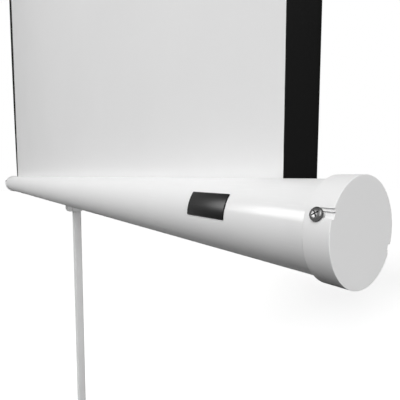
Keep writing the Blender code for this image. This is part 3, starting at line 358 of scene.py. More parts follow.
def noise_node(tree, vector, scale, detail, rough=0.55):
    """A Noise texture on a vector. Its scale is a number or a socket. Returns its factor."""
    node = tree.nodes.new("ShaderNodeTexNoise")
    set_inputs(node, Detail=detail, Roughness=rough)
    if isinstance(scale, (int, float)):
        set_inputs(node, Scale=scale)
    else:
        tree.links.new(scale, node.inputs["Scale"])
    tree.links.new(vector, node.inputs["Vector"])
    return node.outputs["Fac"]


def make_grain():
    """Group: fine bump of a coat, as Height, and slow mottling of its tone, as Mottle from 0 to 1."""
    group, start, end = new_group(
        "coat_grain",
        [("Fine", FLOAT, 900.0), ("Slow", FLOAT, 14.0)],
        ["Height", "Mottle"],
    )
    place = object_place(group)
    fine = noise_node(group, place, start.outputs["Fine"], detail=3.0)
    slow = noise_node(group, place, start.outputs["Slow"], detail=5.0)
    group.links.new(fine, end.inputs["Height"])
    group.links.new(slow, end.inputs["Mottle"])
    return group


def make_dust():
    """Group: Mask of the dust that settles on faces that look up, broken by noise."""
    group, start, end = new_group("settled_dust", [("Amount", FLOAT, 0.3)], ["Mask"])
    place = object_place(group)
    facing = group.nodes.new("ShaderNodeNewGeometry").outputs["Normal"]
    upward = math_node(group, "MAXIMUM", split_xyz(group, facing)["Z"], 0.0)
    broken = noise_node(group, place, 60.0, detail=6.0, rough=0.65)
    mask = math_node(group, "MULTIPLY", upward, broken)
    mask = math_node(group, "MULTIPLY", mask, start.outputs["Amount"])
    group.links.new(mask, end.inputs["Mask"])
    return group


def make_scuffs():
    """Group: Mask of short fine scratches: noise drawn out along one axis and cut at a high level."""
    group, start, end = new_group(
        "fine_scuffs",
        [("Stretch", VECTOR, (30.0, 700.0, 700.0)), ("Level", FLOAT, 0.62)],
        ["Mask"],
    )
    patch_scale, patch_lift, contrast = 22.0, 0.5, 8.0
    place = object_place(group)
    scaled = group.nodes.new("ShaderNodeVectorMath")
    scaled.operation = "MULTIPLY"
    group.links.new(place, scaled.inputs[0])
    group.links.new(start.outputs["Stretch"], scaled.inputs[1])
    streak = noise_node(group, scaled.outputs[0], 1.0, detail=2.0)
    patch = noise_node(group, place, patch_scale, detail=2.0)
    both = math_node(group, "MULTIPLY", streak, math_node(group, "ADD", patch, patch_lift))
    over = math_node(group, "SUBTRACT", both, start.outputs["Level"])
    mask = math_node(group, "MULTIPLY", over, contrast)
    group.links.new(clamped(group, mask), end.inputs["Mask"])
    return group


def make_weave():
    """Group: Height of a plain weave, one set of threads over the other in turn: sin(n x) sin(n z)."""
    group, start, end = new_group("plain_weave", [("Threads", FLOAT, 9000.0)], ["Height"])
    parts = split_xyz(group, object_place(group))
    threads = start.outputs["Threads"]
    across = math_node(group, "SINE", math_node(group, "MULTIPLY", parts["X"], threads))
    down = math_node(group, "SINE", math_node(group, "MULTIPLY", parts["Z"], threads))
    group.links.new(math_node(group, "MULTIPLY", across, down), end.inputs["Height"])
    return group


GRAIN = make_grain()
DUST = make_dust()
SCUFFS = make_scuffs()
WEAVE = make_weave()


def use_group(tree, group, **values):
    """Places a node group in a material with its own values."""
    node = tree.nodes.new("ShaderNodeGroup")
    node.node_tree = group
    set_inputs(node, **values)
    return node


def mix_colours(tree, mask, first, second):
    """A mix of two colours by a mask. Each is a socket or three numbers. Inputs 6 and 7 and output 2 are the
    Mix node's colours."""
    node = tree.nodes.new("ShaderNodeMix")
    node.data_type = "RGBA"
    tree.links.new(mask, node.inputs["Factor"])
    for place, value in ((6, first), (7, second)):
        if hasattr(value, "is_linked"):
            tree.links.new(value, node.inputs[place])
        else:
            node.inputs[place].default_value = (*value, 1)
    return node.outputs[2]


def map_range(tree, value, low, high):
    """A value from 0 to 1 brought to low to high."""
    node = tree.nodes.new("ShaderNodeMapRange")
    tree.links.new(value, node.inputs["Value"])
    set_inputs(node, To_Min=low, To_Max=high)
    return node.outputs["Result"]


def grey(level):
    """A linear grey."""
    return (level, level, level)


def shade(tone):
    """Linear grey from an sRGB tone of 0 to 1."""
    return grey(tone / 12.92 if tone <= 0.04045 else ((tone + 0.055) / 1.055) ** 2.4)


def new_finish(name):
    """A node material, its tree and its shader."""
    finish = bpy.data.materials.new(name)
    finish.use_nodes = True
    tree = finish.node_tree
    return finish, tree, tree.nodes["Principled BSDF"]


def add_relief(tree, shader, height, strength, distance):
    """A Bump node from a height to the shader's normal."""
    relief = tree.nodes.new("ShaderNodeBump")
    set_inputs(relief, Strength=strength, Distance=distance)
    tree.links.new(height, relief.inputs["Height"])
    tree.links.new(relief.outputs["Normal"], shader.inputs["Normal"])


def coat(
    name, tone, spread, rough, fine=900.0, bump=0.05, metal=0.0, dust=0.15, scuff=0.0, shine=0.0,
    stretch=(30.0, 700.0, 700.0), specular=0.5, shine_rough=0.12,
):
    """A coat or moulded skin: a grey that drifts by spread, with grain, dust on top and fine scuffs.
    Tones are sRGB of 0 to 1 and bump is in mm."""
    finish, tree, shader = new_finish(name)
    grain = use_group(tree, GRAIN, Fine=fine)
    mottle = grain.outputs["Mottle"]
    colour = mix_colours(tree, mottle, shade(tone - spread), shade(tone + spread))
    roughness = map_range(tree, mottle, rough - ROUGH_DRIFT, rough + ROUGH_DRIFT)
    if dust:
        settled = use_group(tree, DUST, Amount=dust)
        colour = mix_colours(tree, settled.outputs["Mask"], colour, shade(DUST_TONE))
        roughness = math_node(tree, "ADD", roughness, settled.outputs["Mask"])
    if scuff:
        marks = use_group(tree, SCUFFS, Stretch=stretch)
        strength = math_node(tree, "MULTIPLY", marks.outputs["Mask"], scuff)
        colour = mix_colours(tree, strength, colour, shade(min(1.0, tone + SCUFF_LIFT)))
        rougher = math_node(tree, "MULTIPLY", strength, SCUFF_ROUGH)
        roughness = math_node(tree, "ADD", roughness, rougher)
    add_relief(tree, shader, grain.outputs["Height"], COAT_RELIEF, bump * MILLIMETRE)
    tree.links.new(colour, shader.inputs["Base Color"])
    tree.links.new(roughness, shader.inputs["Roughness"])
    set_inputs(shader, Metallic=metal, Specular_IOR_Level=specular)
    set_inputs(shader, Coat_Weight=shine, Coat_Roughness=shine_rough)
    return finish


def make_sheet_finish():
    """The sheet's front: matt white with printed black side borders, on a fine woven ground."""
    finish, tree, shader = new_finish("sheet_front")
    edge_waver, edge_blur, relief_height = 0.0004, 0.00025, 0.00004
    white_tones, black_tones, roughs = (0.945, 0.965), (0.030, 0.048), (0.78, 0.95)
    place = object_place(tree)
    side = math_node(tree, "ABSOLUTE", split_xyz(tree, place)["X"])
    waver = math_node(tree, "MULTIPLY", noise_node(tree, place, 40.0, detail=2.0), edge_waver)
    border_start = HALF_SHEET - BORDER + edge_waver / 2
    inside = math_node(tree, "SUBTRACT", math_node(tree, "ADD", side, waver), border_start)
    mask = clamped(tree, math_node(tree, "MULTIPLY", inside, 1 / edge_blur))
    grain = use_group(tree, GRAIN, Fine=1800.0, Slow=5.0)
    mottle = grain.outputs["Mottle"]
    white = mix_colours(tree, mottle, shade(white_tones[0]), shade(white_tones[1]))
    black = mix_colours(tree, mottle, shade(black_tones[0]), shade(black_tones[1]))
    tree.links.new(mix_colours(tree, mask, white, black), shader.inputs["Base Color"])
    tree.links.new(map_range(tree, grain.outputs["Height"], *roughs), shader.inputs["Roughness"])
    weave = use_group(tree, WEAVE)
    height = math_node(tree, "ADD", weave.outputs["Height"], grain.outputs["Height"])
    add_relief(tree, shader, height, WEAVE_RELIEF, relief_height)
    set_inputs(shader, Specular_IOR_Level=0.06)
    return finish


CASE_PAINT = coat(
    "case_white_paint", tone=0.930, spread=0.006, rough=0.38,
    fine=520.0, bump=0.05, dust=0.04, scuff=0.10, specular=0.0, shine=0.22, shine_rough=0.20,
)
CAP_PLASTIC = coat(
    "cap_white_plastic", tone=0.925, spread=0.006, rough=0.50,
    fine=1500.0, bump=0.03, dust=0.03, specular=0.0, shine=0.06, shine_rough=0.30,
)
SHEET_FRONT = make_sheet_finish()
SHEET_BACK = coat(
    "sheet_black_back", tone=0.13, spread=0.012, rough=0.80,
    fine=1400.0, bump=0.04, dust=0.0, specular=0.2,
)
PLATE_GLOSS = coat(
    "plate_black_gloss", tone=0.035, spread=0.004, rough=0.30,
    fine=300.0, bump=0.004, dust=0.03, scuff=0.10, specular=0.08,
)
POLE_PAINT = coat(
    "pole_grey_paint", tone=0.825, spread=0.010, rough=0.36,
    fine=700.0, bump=0.02, dust=0.05, scuff=0.14, stretch=(700.0, 700.0, 26.0),
)
LEG_COAT = coat(
    "leg_black_powder", tone=0.175, spread=0.014, rough=0.46,
    fine=1300.0, bump=0.07, dust=0.22, scuff=0.16,
)
BRACKET_PAINT = coat(
    "bracket_grey_paint", tone=0.890, spread=0.012, rough=0.42,
    fine=900.0, bump=0.03, dust=0.08, scuff=0.10,
)
PLASTIC = coat(
    "moulded_black_plastic", tone=0.165, spread=0.012, rough=0.50,
    fine=1100.0, bump=0.09, dust=0.20,
)
KNOB_PLASTIC = coat(
    "knob_black_plastic", tone=0.150, spread=0.010, rough=0.40,
    fine=900.0, bump=0.05, dust=0.16,
)
RUBBER = coat(
    "foot_black_rubber", tone=0.150, spread=0.018, rough=0.82,
    fine=700.0, bump=0.12, dust=0.35, specular=0.3,
)
STEEL = coat(
    "zinc_steel", tone=0.600, spread=0.030, rough=0.30,
    fine=600.0, bump=0.01, metal=1.0, dust=0.05, scuff=0.20, stretch=(400.0, 400.0, 60.0),
)
# Painted dark reflection: the screws get a darker copy of the zinc steel. Its low tone stands in for dark
# surroundings mirrored in the metal heads.
SCREW_STEEL_PAINTED_DARK_REFLECTION = coat(
    "screw_steel_painted_dark_reflection", tone=0.300, spread=0.030, rough=0.28,
    fine=900.0, bump=0.01, metal=1.0, dust=0.0, scuff=0.20,
)
SPRING_STEEL = coat(
    "spring_steel", tone=0.550, spread=0.030, rough=0.34,
    fine=500.0, bump=0.01, metal=1.0, dust=0.0,
)
ROLLER_PAINT = coat(
    "roller_grey_steel", tone=0.700, spread=0.020, rough=0.38,
    fine=500.0, bump=0.02, metal=0.8, dust=0.0,
)


def dress(item, finish, body, node):
    """Gives a piece its finish and its body, and hides the CAD node that it stands for."""
    item.data.materials.append(finish)
    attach(item, body)
    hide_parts(node)
    return item


# The case


def case_place():
    """A matrix with +Z along the case, +X to its front and +Y up, for profiles about its axis."""
    return Matrix(((0, 0, 1, 0), (-1, 0, 0, CASE_Y), (0, 1, 0, CASE_Z), (0, 0, 0, 1)))


def make_tube():
    """The slotted tube. At each angle a round the axis a thin closed loop runs along the case: (x, r) with
    r = R outside and R - wall inside. Near the slot both turn in by a cosine step, as rolled lips."""
    slot_angle = math.pi / 2 + math.asin(SLOT_BACK / TUBE_RADIUS)
    half = SLOT_WIDTH / 2 / TUBE_RADIUS
    lip = LIP_WIDTH / TUBE_RADIUS
    last = 2 * np.pi - 2 * half
    near_slot = np.linspace(0, 1, 14) * lip
    a = np.concatenate([near_slot, np.linspace(lip, last - lip, 260)[1:-1], last - near_slot[::-1]])
    from_edge = np.minimum(a, last - a)
    turn = np.where(from_edge < lip, 0.5 + 0.5 * np.cos(np.pi * np.minimum(from_edge / lip, 1)), 0)
    outer = TUBE_RADIUS - LIP_DROP * turn**2
    inner = TUBE_RADIUS - TUBE_WALL - LIP_ROLL * turn
    x = np.concatenate([[-1, -0.9999], np.linspace(-0.75, 0.75, 7), [0.9999, 1]]) * HALF_TUBE
    edge = np.zeros(len(x))
    edge[[0, -1]] = TUBE_END_EDGE
    out_r = outer[:, None] - edge[None, :]
    in_r = inner[:, None] + edge[None, ::-1]
    r = np.concatenate([out_r, in_r], axis=1)
    along = np.broadcast_to(np.concatenate([x, x[::-1]]), r.shape)
    angle = slot_angle + half + a[:, None]
    points = np.stack([r * np.cos(angle), r * np.sin(angle), along], axis=-1)
    tube = skin("case_tube_skin", points, case_place())
    return dress(tube, CASE_PAINT, "case_body", "case_tube")


def make_cap(side, sign):
    """An end cap: a cup turned about the case, profile (r, depth from the face) with a rounded rim. In the
    two notches r is held near the tube's radius, from the face in past the screw. A shelf runs along one
    side of each."""
    inner = TUBE_RADIUS + GAP
    hair, beside, notch_lift = 0.00002, 0.0004, 0.00005
    t = np.linspace(0, np.pi / 2, 7)
    rim = np.column_stack([CAP_RADIUS - CAP_EDGE + CAP_EDGE * np.sin(t), CAP_EDGE * (1 - np.cos(t))])
    depth = np.array([0.0018, 0.005, 0.009, NOTCH_END - hair, NOTCH_END + hair, 0.0155,
                      CAP_LENGTH - 0.0006, CAP_LENGTH - 0.0002])
    radii = np.full(len(depth), CAP_RADIUS)
    radii[-1] -= 0.0003
    rings = np.array([0, 0.008, 0.016, 0.024, 0.030, inner - 0.0004, inner, inner + 0.0006])
    face = np.column_stack([rings, np.zeros(len(rings))])
    back = np.array([
        [CAP_RADIUS - CAP_BACK_EDGE, CAP_LENGTH], [inner + 0.0003, CAP_LENGTH], [inner, CAP_LENGTH - 0.0004],
        [inner, CAP_FACE + 0.0001], [inner - 0.0005, CAP_FACE], [0.020, CAP_FACE], [0, CAP_FACE],
    ])
    profile = np.concatenate([face, rim, np.column_stack([radii, depth]), back])
    half = math.asin(NOTCH_HALF / CAP_RADIUS)
    shelf = half - SHELF_WIDTH / CAP_RADIUS
    first = SCREW_ANGLE + NOTCH_TURN
    angles = [np.linspace(0, 2 * np.pi, 216, endpoint=False)]
    for centre in (first, first + np.pi):
        for step in (-beside, beside):
            angles.append(np.array([centre - half - step, centre + half + step, centre + shelf + step]))
    a = np.sort(np.concatenate(angles) % (2 * np.pi))
    r = np.broadcast_to(profile[:, 0], (len(a), len(profile)))
    z = np.broadcast_to(profile[:, 1], r.shape)
    off = (a - first + np.pi / 2) % np.pi - np.pi / 2
    limit = inner + notch_lift + np.where(off > shelf, SHELF_RISE, 0)
    outside = np.arange(len(profile)) < len(profile) - len(back)
    cut = (np.abs(off)[:, None] < half) & (z < NOTCH_END) & (r > limit[:, None]) & outside[None, :]
    r = np.where(cut, limit[:, None], r)
    z = np.where(cut & (z < 2 * CAP_EDGE), 0.0, z)
    angle = np.broadcast_to(a[:, None], r.shape)
    along = sign * (HALF_CASE - z)
    points = np.stack([r * np.cos(angle), r * np.sin(angle), along], axis=-1)
    cap = skin(f"case_cap_{side}_skin", points, case_place(), close_rows=True, close_columns=False,
               ends=False, sharp=30, weld=2e-6)
    return dress(cap, CAP_PLASTIC, "case_body", f"case_cap_{side}")


def out_of_case(sign, angle, along):
    """A matrix on the case's axis: +Z outwards at an angle from the front, +X to the case's end."""
    outward = Vector((0, -math.cos(angle), math.sin(angle)))
    end = Vector((sign, 0, 0))
    matrix = Matrix((end, outward.cross(end), outward)).transposed().to_4x4()
    matrix.translation = Vector((sign * along, CASE_Y, CASE_Z))
    return matrix


def make_screw(node, sign, angle):
    """A pan-head screw. A square grid (u, v) goes to the disc x = u sqrt(1 - v v / 2),
    y = v sqrt(1 - u u / 2). Its height is the head's dome less the cross: a step down where either arm's
    band holds the point. Rings then lead from the grid's rim down to the head's underside and in to the
    shank."""
    base = CAP_RADIUS + GAP
    skirt, shank, tuck, brim = 0.36, 0.47, 0.965, 0.0002
    arm, span = CROSS_ARM / SCREW_RADIUS, CROSS_SPAN / SCREW_RADIUS
    lines = np.array([
        arm - 0.006, arm + 0.006, arm * 2.2, span - 0.01, span + 0.01, 0.62, 0.74, 0.85, 0.94, 1.0,
    ])
    u = np.concatenate([-lines[::-1], [-arm / 2, 0, arm / 2], lines])
    count = len(u)
    u, v = np.meshgrid(u, u, indexing="ij")
    x, y = u * np.sqrt(1 - v * v / 2), v * np.sqrt(1 - u * u / 2)
    rho = np.clip(np.hypot(x, y), 0, 1)
    dome = SCREW_HEIGHT * (skirt + (1 - skirt) * np.sqrt(1 - 0.94 * rho**2.6))
    reach = np.maximum(np.abs(u), np.abs(v))
    in_arm = ((np.abs(u) < arm) | (np.abs(v) < arm)) & (reach < span)
    deep = np.where(in_arm, CROSS_DEPTH - CROSS_SLOPE * reach / span, 0)
    points = np.stack([x * SCREW_RADIUS, y * SCREW_RADIUS, base + dome - deep], axis=-1).reshape(-1, 3)
    faces = grid_faces(count, count)
    cells = np.arange(count * count).reshape(count, count)
    rim = np.concatenate([cells[0, :-1], cells[:-1, -1], cells[-1, :0:-1], cells[:0:-1, 0]])
    outward = points[rim, :2] / np.linalg.norm(points[rim, :2], axis=1, keepdims=True)
    for scale, level in ((1.0, base + brim), (tuck, base), (shank, base), (shank, base - SCREW_LENGTH)):
        ring = np.column_stack([outward * SCREW_RADIUS * scale, np.full(len(rim), level)])
        below = np.arange(len(rim)) + len(points)
        points = np.concatenate([points, ring])
        faces += np.stack([rim, np.roll(rim, -1), np.roll(below, -1), below], axis=1).tolist()
        rim = below
    faces.append(rim.tolist())
    turn = np.array(out_of_case(sign, angle, HALF_CASE - SCREW_IN) @ Matrix.Rotation(SCREW_TURN, 4, "Z"))
    placed = points @ turn[:3, :3].T + turn[:3, 3]
    screw = closed_mesh(node + "_finished", placed, faces, sharp=32)
    return dress(screw, SCREW_STEEL_PAINTED_DARK_REFLECTION, "case_body", node)


def make_plate():
    """The bare plate on the case's front: an arc band, its loop in (x, r) carried round by the angle. It
    droops by end_drop and next_drop in its two rows at either end, as rounded edges."""
    low, high = box("front_plate")
    angles = np.linspace(PLATE_LOW, PLATE_HIGH, 60)
    inner = TUBE_RADIUS + GAP
    outer = inner + PLATE_THICK
    t = np.linspace(0, np.pi / 2, 5)
    in_x, in_r = PLATE_EDGE * (1 - np.cos(t)), PLATE_EDGE * (1 - np.sin(t))
    x = np.concatenate([[low[0]], low[0] + in_x, high[0] - in_x[::-1], [high[0]]])
    r = np.concatenate([[inner], outer - in_r, outer - in_r[::-1], [inner]])
    end_drop, next_drop = 0.00035, 0.00008
    droop = np.zeros(len(angles))
    droop[[0, -1]] = end_drop
    droop[[1, -2]] = next_drop
    grid_r = np.where(r > inner, r[None, :] - droop[:, None], r[None, :])
    a = np.broadcast_to(angles[:, None], grid_r.shape)
    points = np.stack([grid_r * np.cos(a), grid_r * np.sin(a), np.broadcast_to(x, grid_r.shape)], axis=-1)
    plate = skin("front_plate_skin", points, case_place())
    return dress(plate, PLATE_GLOSS, "case_body", "front_plate")


def make_handle():
    """The carry handle: a rod along a U with round bends. It swells over the grip, which is ribbed."""
    low, high = box("carry_handle")
    foot_low, foot_high = box("handle_foot_right")
    centre = float(low[0] + high[0]) / 2
    half = float(foot_low[0] + foot_high[0]) / 2 - centre
    place = Matrix.Translation((centre, CASE_Y, CASE_Z)) @ Matrix.Rotation(-HANDLE_LEAN, 4, "X")
    bottom, top, rod, swelling = 0.0423, 0.072, 0.0058, 0.0007
    rib_height, rib_pitch, plain_share, taper = 0.0003, 0.0042, 0.08, 6
    legs = np.linspace(bottom, top - HANDLE_BEND, 8)[:-1]
    curve = arc(-half + HANDLE_BEND, top - HANDLE_BEND, HANDLE_BEND, np.pi, np.pi / 2, 24)
    bar = np.linspace(-half + HANDLE_BEND, half - HANDLE_BEND, 240)[1:-1]
    start = np.concatenate([np.column_stack([np.full(len(legs), -half), legs]), curve])
    path = np.concatenate([start, np.column_stack([bar, np.full(len(bar), top)]), (start * [-1, 1])[::-1]])
    along = np.clip(1 - np.abs(path[:, 0]) / (half - HANDLE_BEND), 0, 1)
    swell = rod + swelling * np.clip(along * taper, 0, 1)
    ribs = rib_height * np.clip(np.sin(path[:, 0] * 2 * np.pi / rib_pitch), 0, 1) * (along > plain_share)
    path = np.column_stack([path[:, 0], np.zeros(len(path)), path[:, 1]])
    grip = swept("carry_handle_skin", path, swell - ribs, sides=32, matrix=place)
    dress(grip, PLASTIC, "case_body", "carry_handle")
    for side in ("right", "left"):
        foot = softened(f"handle_foot_{side}", 0.0006)
        dress(foot, PLASTIC, "case_body", f"handle_foot_{side}")


def make_sheet():
    """The sheet: a flat grid (x, z) with y = slow waves that fade at the slot and below the bar, and side
    edges that curl a little. A wall gives it its thickness, with the black back on the rear side."""
    side = np.linspace(0.94, 1, 13)
    x = np.concatenate([-side[::-1], np.linspace(-0.94, 0.94, 150)[1:-1], side])
    x, z = np.meshgrid(x, np.linspace(0, 1, 150), indexing="xy")
    height = SHEET_TOP - SHEET_FOOT
    fade_from, fade_to = 0.04, 0.86 * height
    fade = np.sin(np.pi * np.clip((z * height - fade_from) / (fade_to - fade_from), 0, 1)) ** 0.8
    slow, quick, flare_width = 0.0011, 0.0006, 0.0010
    waves = slow * np.sin(7.0 * x + 1.3 * np.sin(2.2 * z)) + quick * np.sin(17.0 * x + 3.0 * z)
    curl_from, near_curl, far_curl = 0.965, 0.0012, 0.0048
    near_edge = np.clip((x - curl_from) / (1 - curl_from), 0, 1)
    far_edge = np.clip((-x - curl_from) / (1 - curl_from), 0, 1)
    curl = near_curl * near_edge - far_curl * far_edge**2
    flare = flare_width * (1 - 2 * z) * np.abs(x) ** 12 * np.sign(x)
    points = np.stack([
        x * HALF_SHEET + flare * fade, SHEET_Y + (waves + curl) * fade, SHEET_FOOT + z * height,
    ], axis=-1)
    mesh = bpy.data.meshes.new("screen_sheet")
    mesh.from_pydata(points.reshape(-1, 3).tolist(), [], grid_faces(*x.shape))
    mesh.shade_smooth()
    item = add_item("screen_sheet", mesh)
    mesh.materials.append(SHEET_FRONT)
    mesh.materials.append(SHEET_BACK)
    wall = item.modifiers.new("thickness", "SOLIDIFY")
    wall.thickness = SHEET_THICK
    wall.offset = 0
    wall.material_offset = 1
    wall.material_offset_rim = 1
    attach(item, "case_body")
    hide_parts("screen_fabric")
    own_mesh(item)
    return item


# The bar along the top of the sheet, and its bail


def bar_section(half, low, high, corner, foot):
    """A section from one foot round over the top to the other: four arcs in (y, z)."""
    return np.concatenate([
        arc(half - foot, low + foot, foot, -np.pi / 2, 0, 6),
        arc(half - corner, high - corner, corner, 0, np.pi / 2, 14),
        arc(-half + corner, high - corner, corner, np.pi / 2, np.pi, 14),
        arc(-half + foot, low + foot, foot, np.pi, 1.5 * np.pi, 6),
    ])


def bar_place(rise):
    """A matrix that lays a section's (y, z) across the sheet's plane and carries it along X."""
    return Matrix(((0, 0, 1, 0), (1, 0, 0, SHEET_Y), (0, 1, 0, rise), (0, 0, 0, 1)))


def make_top_bar():
    """The bar: its rounded section, with the sheet's groove below, carried along X, and its two caps."""
    low, high = box("top_bar")
    slit, deep = 0.00085, 0.0045
    round_over = bar_section(
        float(high[1] - low[1]) / 2, 0, float(high[2] - low[2]), corner=0.0055, foot=0.0012,
    )
    section = np.concatenate([round_over, [[-slit, 0], [-slit, deep], [slit, deep], [slit, 0]]])
    place = bar_place(float(low[2]))
    bar = prism("top_bar_skin", section, float(low[0]), float(high[0]), place, edge=0.00005, steps=1)
    dress(bar, CASE_PAINT, "top_bar_body", "top_bar")
    for side in ("right", "left"):
        low, high = box(f"bar_cap_{side}")
        outline = bar_section(
            float(high[1] - low[1]) / 2, float(low[2]), float(high[2]), corner=0.0063, foot=0.0015,
        )
        ends = float(low[0]), float(high[0])
        cap = prism(f"bar_cap_{side}_skin", outline, *ends, bar_place(0), edge=0.0008, steps=4)
        dress(cap, PLASTIC, "top_bar_body", f"bar_cap_{side}")
    dress(softened("bail_bracket", 0.0003), STEEL, "top_bar_body", "bail_bracket")


def make_bail():
    """The bail: a wire along a U with round bends, its ends turned in through the bracket."""
    low = box("bail")[0]
    bend, turn_in, hair = 0.005, 0.0085, 0.00001
    length = math.hypot(BAIL_BACK, BAIL_UP)
    pivot = Matrix.Translation((0, SHEET_Y, float(low[2]) + BAIL_WIRE))
    lean = Matrix.Rotation(-math.atan2(BAIL_BACK, BAIL_UP), 4, "X")
    side = np.concatenate([
        [[turn_in, 0]],
        arc(BAIL_HALF - bend, bend, bend, -np.pi / 2, 0, 14),
        np.column_stack([np.full(10, BAIL_HALF), np.linspace(bend, length - bend, 12)[1:-1]]),
        arc(BAIL_HALF - bend, length - bend, bend, 0, np.pi / 2, 14),
    ])
    path = np.concatenate([side, (side * [-1, 1])[::-1]])
    path = np.column_stack([path[:, 0], np.zeros(len(path)), path[:, 1]])
    wire = swept("bail_skin", path, BAIL_WIRE - hair, sides=28, matrix=pivot @ lean)
    return dress(wire, STEEL, "bail_body", "bail")


# Poles, legs and feet


def make_poles():
    """The main pole and the extension: a hollow square section with round corners, carried up."""
    for node, body, corner in (("main_pole", "stand", 0.0021), ("extension_pole", "extension_body", 0.0017)):
        low, high = box(node)
        half = float(high[0] - low[0]) / 2
        outer = rounded_square(half, corner)
        inner = rounded_square(half - POLE_WALL, corner - POLE_WALL + 0.0004)
        levels = np.linspace(float(low[2]), float(high[2]), 9)
        rows = [np.column_stack([outer, np.full(len(outer), level)]) for level in levels]
        rows += [np.column_stack([inner, np.full(len(inner), level)]) for level in levels[::-1]]
        place = Matrix.Translation((0, float(low[1] + high[1]) / 2, 0))
        pole = skin(node + "_skin", rows, place, close_rows=True, ends=False)
        dress(pole, POLE_PAINT, body, node)


def leg_place(side):
    """A leg's own frame at rest: the origin at its top pin, -Z down the leg, +X its outer side."""
    low, high = box(f"leg_pin_{side}")
    pivot = (low + high) / 2
    turn = Matrix.Rotation(LEG_AZIMUTHS[side], 4, "Z") @ Matrix.Rotation(-OPEN_ANGLE, 4, "Y")
    return Matrix.Translation(Vector(pivot.tolist())) @ turn


def make_foot(side):
    """A rubber boot: a turned profile with three rings round its shaft and a dome, cut flat at the floor."""
    place = leg_place(side)
    bore, lip, plug, bevel = 0.0076, 0.0012, 0.004, 0.0004
    ring_depth, ring_width = 0.0007, 0.022
    centre = -(place.translation.z - FOOT_RADIUS + FOOT_FLAT) / math.cos(OPEN_ANGLE)
    top = centre + FOOT_LENGTH
    shaft = np.linspace(0, 1, 90)
    ring = np.zeros_like(shaft)
    for at in (0.30, 0.44, 0.58):
        ring += ring_depth * np.exp(-(((shaft - at) / ring_width) ** 2))
    outer = np.column_stack([FOOT_RADIUS - ring, top - lip + (centre - top + lip) * shaft])
    t = np.linspace(0, np.pi / 2, 26)
    profile = np.concatenate([
        [[0, top - plug], [bore, top - plug], [bore, top - bevel], [bore + 0.0006, top]],
        arc(FOOT_RADIUS - lip, top - lip, lip, np.pi / 2, 0, 7)[1:-1],
        outer,
        np.column_stack([FOOT_RADIUS * np.cos(t), centre - FOOT_RADIUS * np.sin(t)])[1:],
    ])
    foot = turned(f"foot_{side}_skin", profile, place, sides=72)
    coords = np.empty(len(foot.data.vertices) * 3)
    foot.data.vertices.foreach_get("co", coords)
    coords[2::3] = np.maximum(coords[2::3], 0)
    foot.data.vertices.foreach_set("co", coords)
    return dress(foot, RUBBER, f"leg_{side}_body", f"foot_{side}")


def make_knob(node, body, axis):
    """A knob with five lobes: r = R - 0.08 R (1 - cos 5a), a profile with round rims and a dished top. It
    faces out along X or Y, and its shank fills the rest of the CAD box."""
    low, high = box(node)
    index = "xy".index(axis)
    turn = Matrix.Rotation(math.pi / 2, 4, "Y") if axis == "x" else Matrix.Rotation(-math.pi / 2, 4, "X")
    seat = (low + high) / 2
    seat[index] = high[index] - KNOB_HEIGHT
    shank_end = KNOB_HEIGHT - float(high[index] - low[index])
    flat, rounding, skirt, boss, shank, bevel = 0.0142, 0.0028, 0.0048, 0.0070, 0.0030, 0.0004
    t = np.linspace(0, np.pi / 2, 9)
    out, up = rounding * np.cos(t), rounding * np.sin(t)
    profile = np.concatenate([
        [[0, 0.0138], [0.004, 0.0138], [0.0085, 0.0140], [0.0095, KNOB_HEIGHT], [0.0125, KNOB_HEIGHT]],
        np.column_stack([flat + out, KNOB_HEIGHT - rounding + up])[::-1],
        np.column_stack([flat + out, skirt - up]),
        [[boss + 0.0002, 0.002], [boss, 0], [shank, 0]],
        [[shank, shank_end + bevel], [shank - bevel, shank_end], [0, shank_end]],
    ])

    core, fade, share = 0.0073, 0.006, 0.08

    def lobes(r, z, a):
        """The lobes are full past core + fade from the middle, and gone at core."""
        weight = np.clip((r - core) / fade, 0, 1)
        return r * (1 - weight * share * (1 - np.cos(5 * a))), z, a

    place = Matrix.Translation(Vector(seat.tolist())) @ turn
    knob = turned(node + "_skin", profile, place, sides=180, shape=lobes)
    return dress(knob, KNOB_PLASTIC, body, node)


def dress_frame():
    """Gives each other outer piece a copy with rounded edges, and every piece its finish."""
    parts = [
        ("case_saddle", 0.0006, BRACKET_PAINT, "case_body", "bracket_grey"),
        ("case_slider", 0.0005, BRACKET_PAINT, "slider_body", "bracket_grey"),
        ("swivel_bolt", 0.0003, STEEL, "slider_body", "bright_steel"),
        ("leg_collar", 0.0005, PLASTIC, "leg_collar_body", "black_plastic"),
        ("brace_ring", 0.0004, PLASTIC, "stand", "black_plastic"),
        ("pole_top_collar", 0.0006, PLASTIC, "stand", "black_plastic"),
        ("pole_sole_plug", 0.0005, PLASTIC, "stand", "black_plastic"),
        ("extension_head", 0.0005, PLASTIC, "extension_body", "black_plastic"),
        ("extension_lever", 0.0006, KNOB_PLASTIC, "lever_body", "black_plastic"),
        ("lever_pin", 0.0002, STEEL, "stand", "bright_steel"),
    ]
    for side in LEG_AZIMUTHS:
        parts += [
            (f"leg_{side}", 0.0003, LEG_COAT, f"leg_{side}_body", "leg_black"),
            (f"brace_{side}", 0.0005, LEG_COAT, f"brace_{side}_body", "leg_black"),
            (f"leg_pin_{side}", 0.0002, STEEL, "leg_collar_body", "bright_steel"),
            (f"brace_rivet_{side}", 0.0002, STEEL, f"leg_{side}_body", "bright_steel"),
        ]
    for node, edge, finish, body, name in parts:
        dress(softened(node, edge), finish, body, node)
    inner = {
        "extension_bush": PLASTIC,
        "roller_tube": ROLLER_PAINT,
        "roller_plug_right": PLASTIC,
        "roller_plug_left": PLASTIC,
        "idle_pin": STEEL,
        "spring_shaft": STEEL,
        "roller_spring": SPRING_STEEL,
    }
    for node, finish in inner.items():
        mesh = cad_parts[node].data
        mesh.materials.clear()
        mesh.materials.append(finish)


# Floor, light and camera


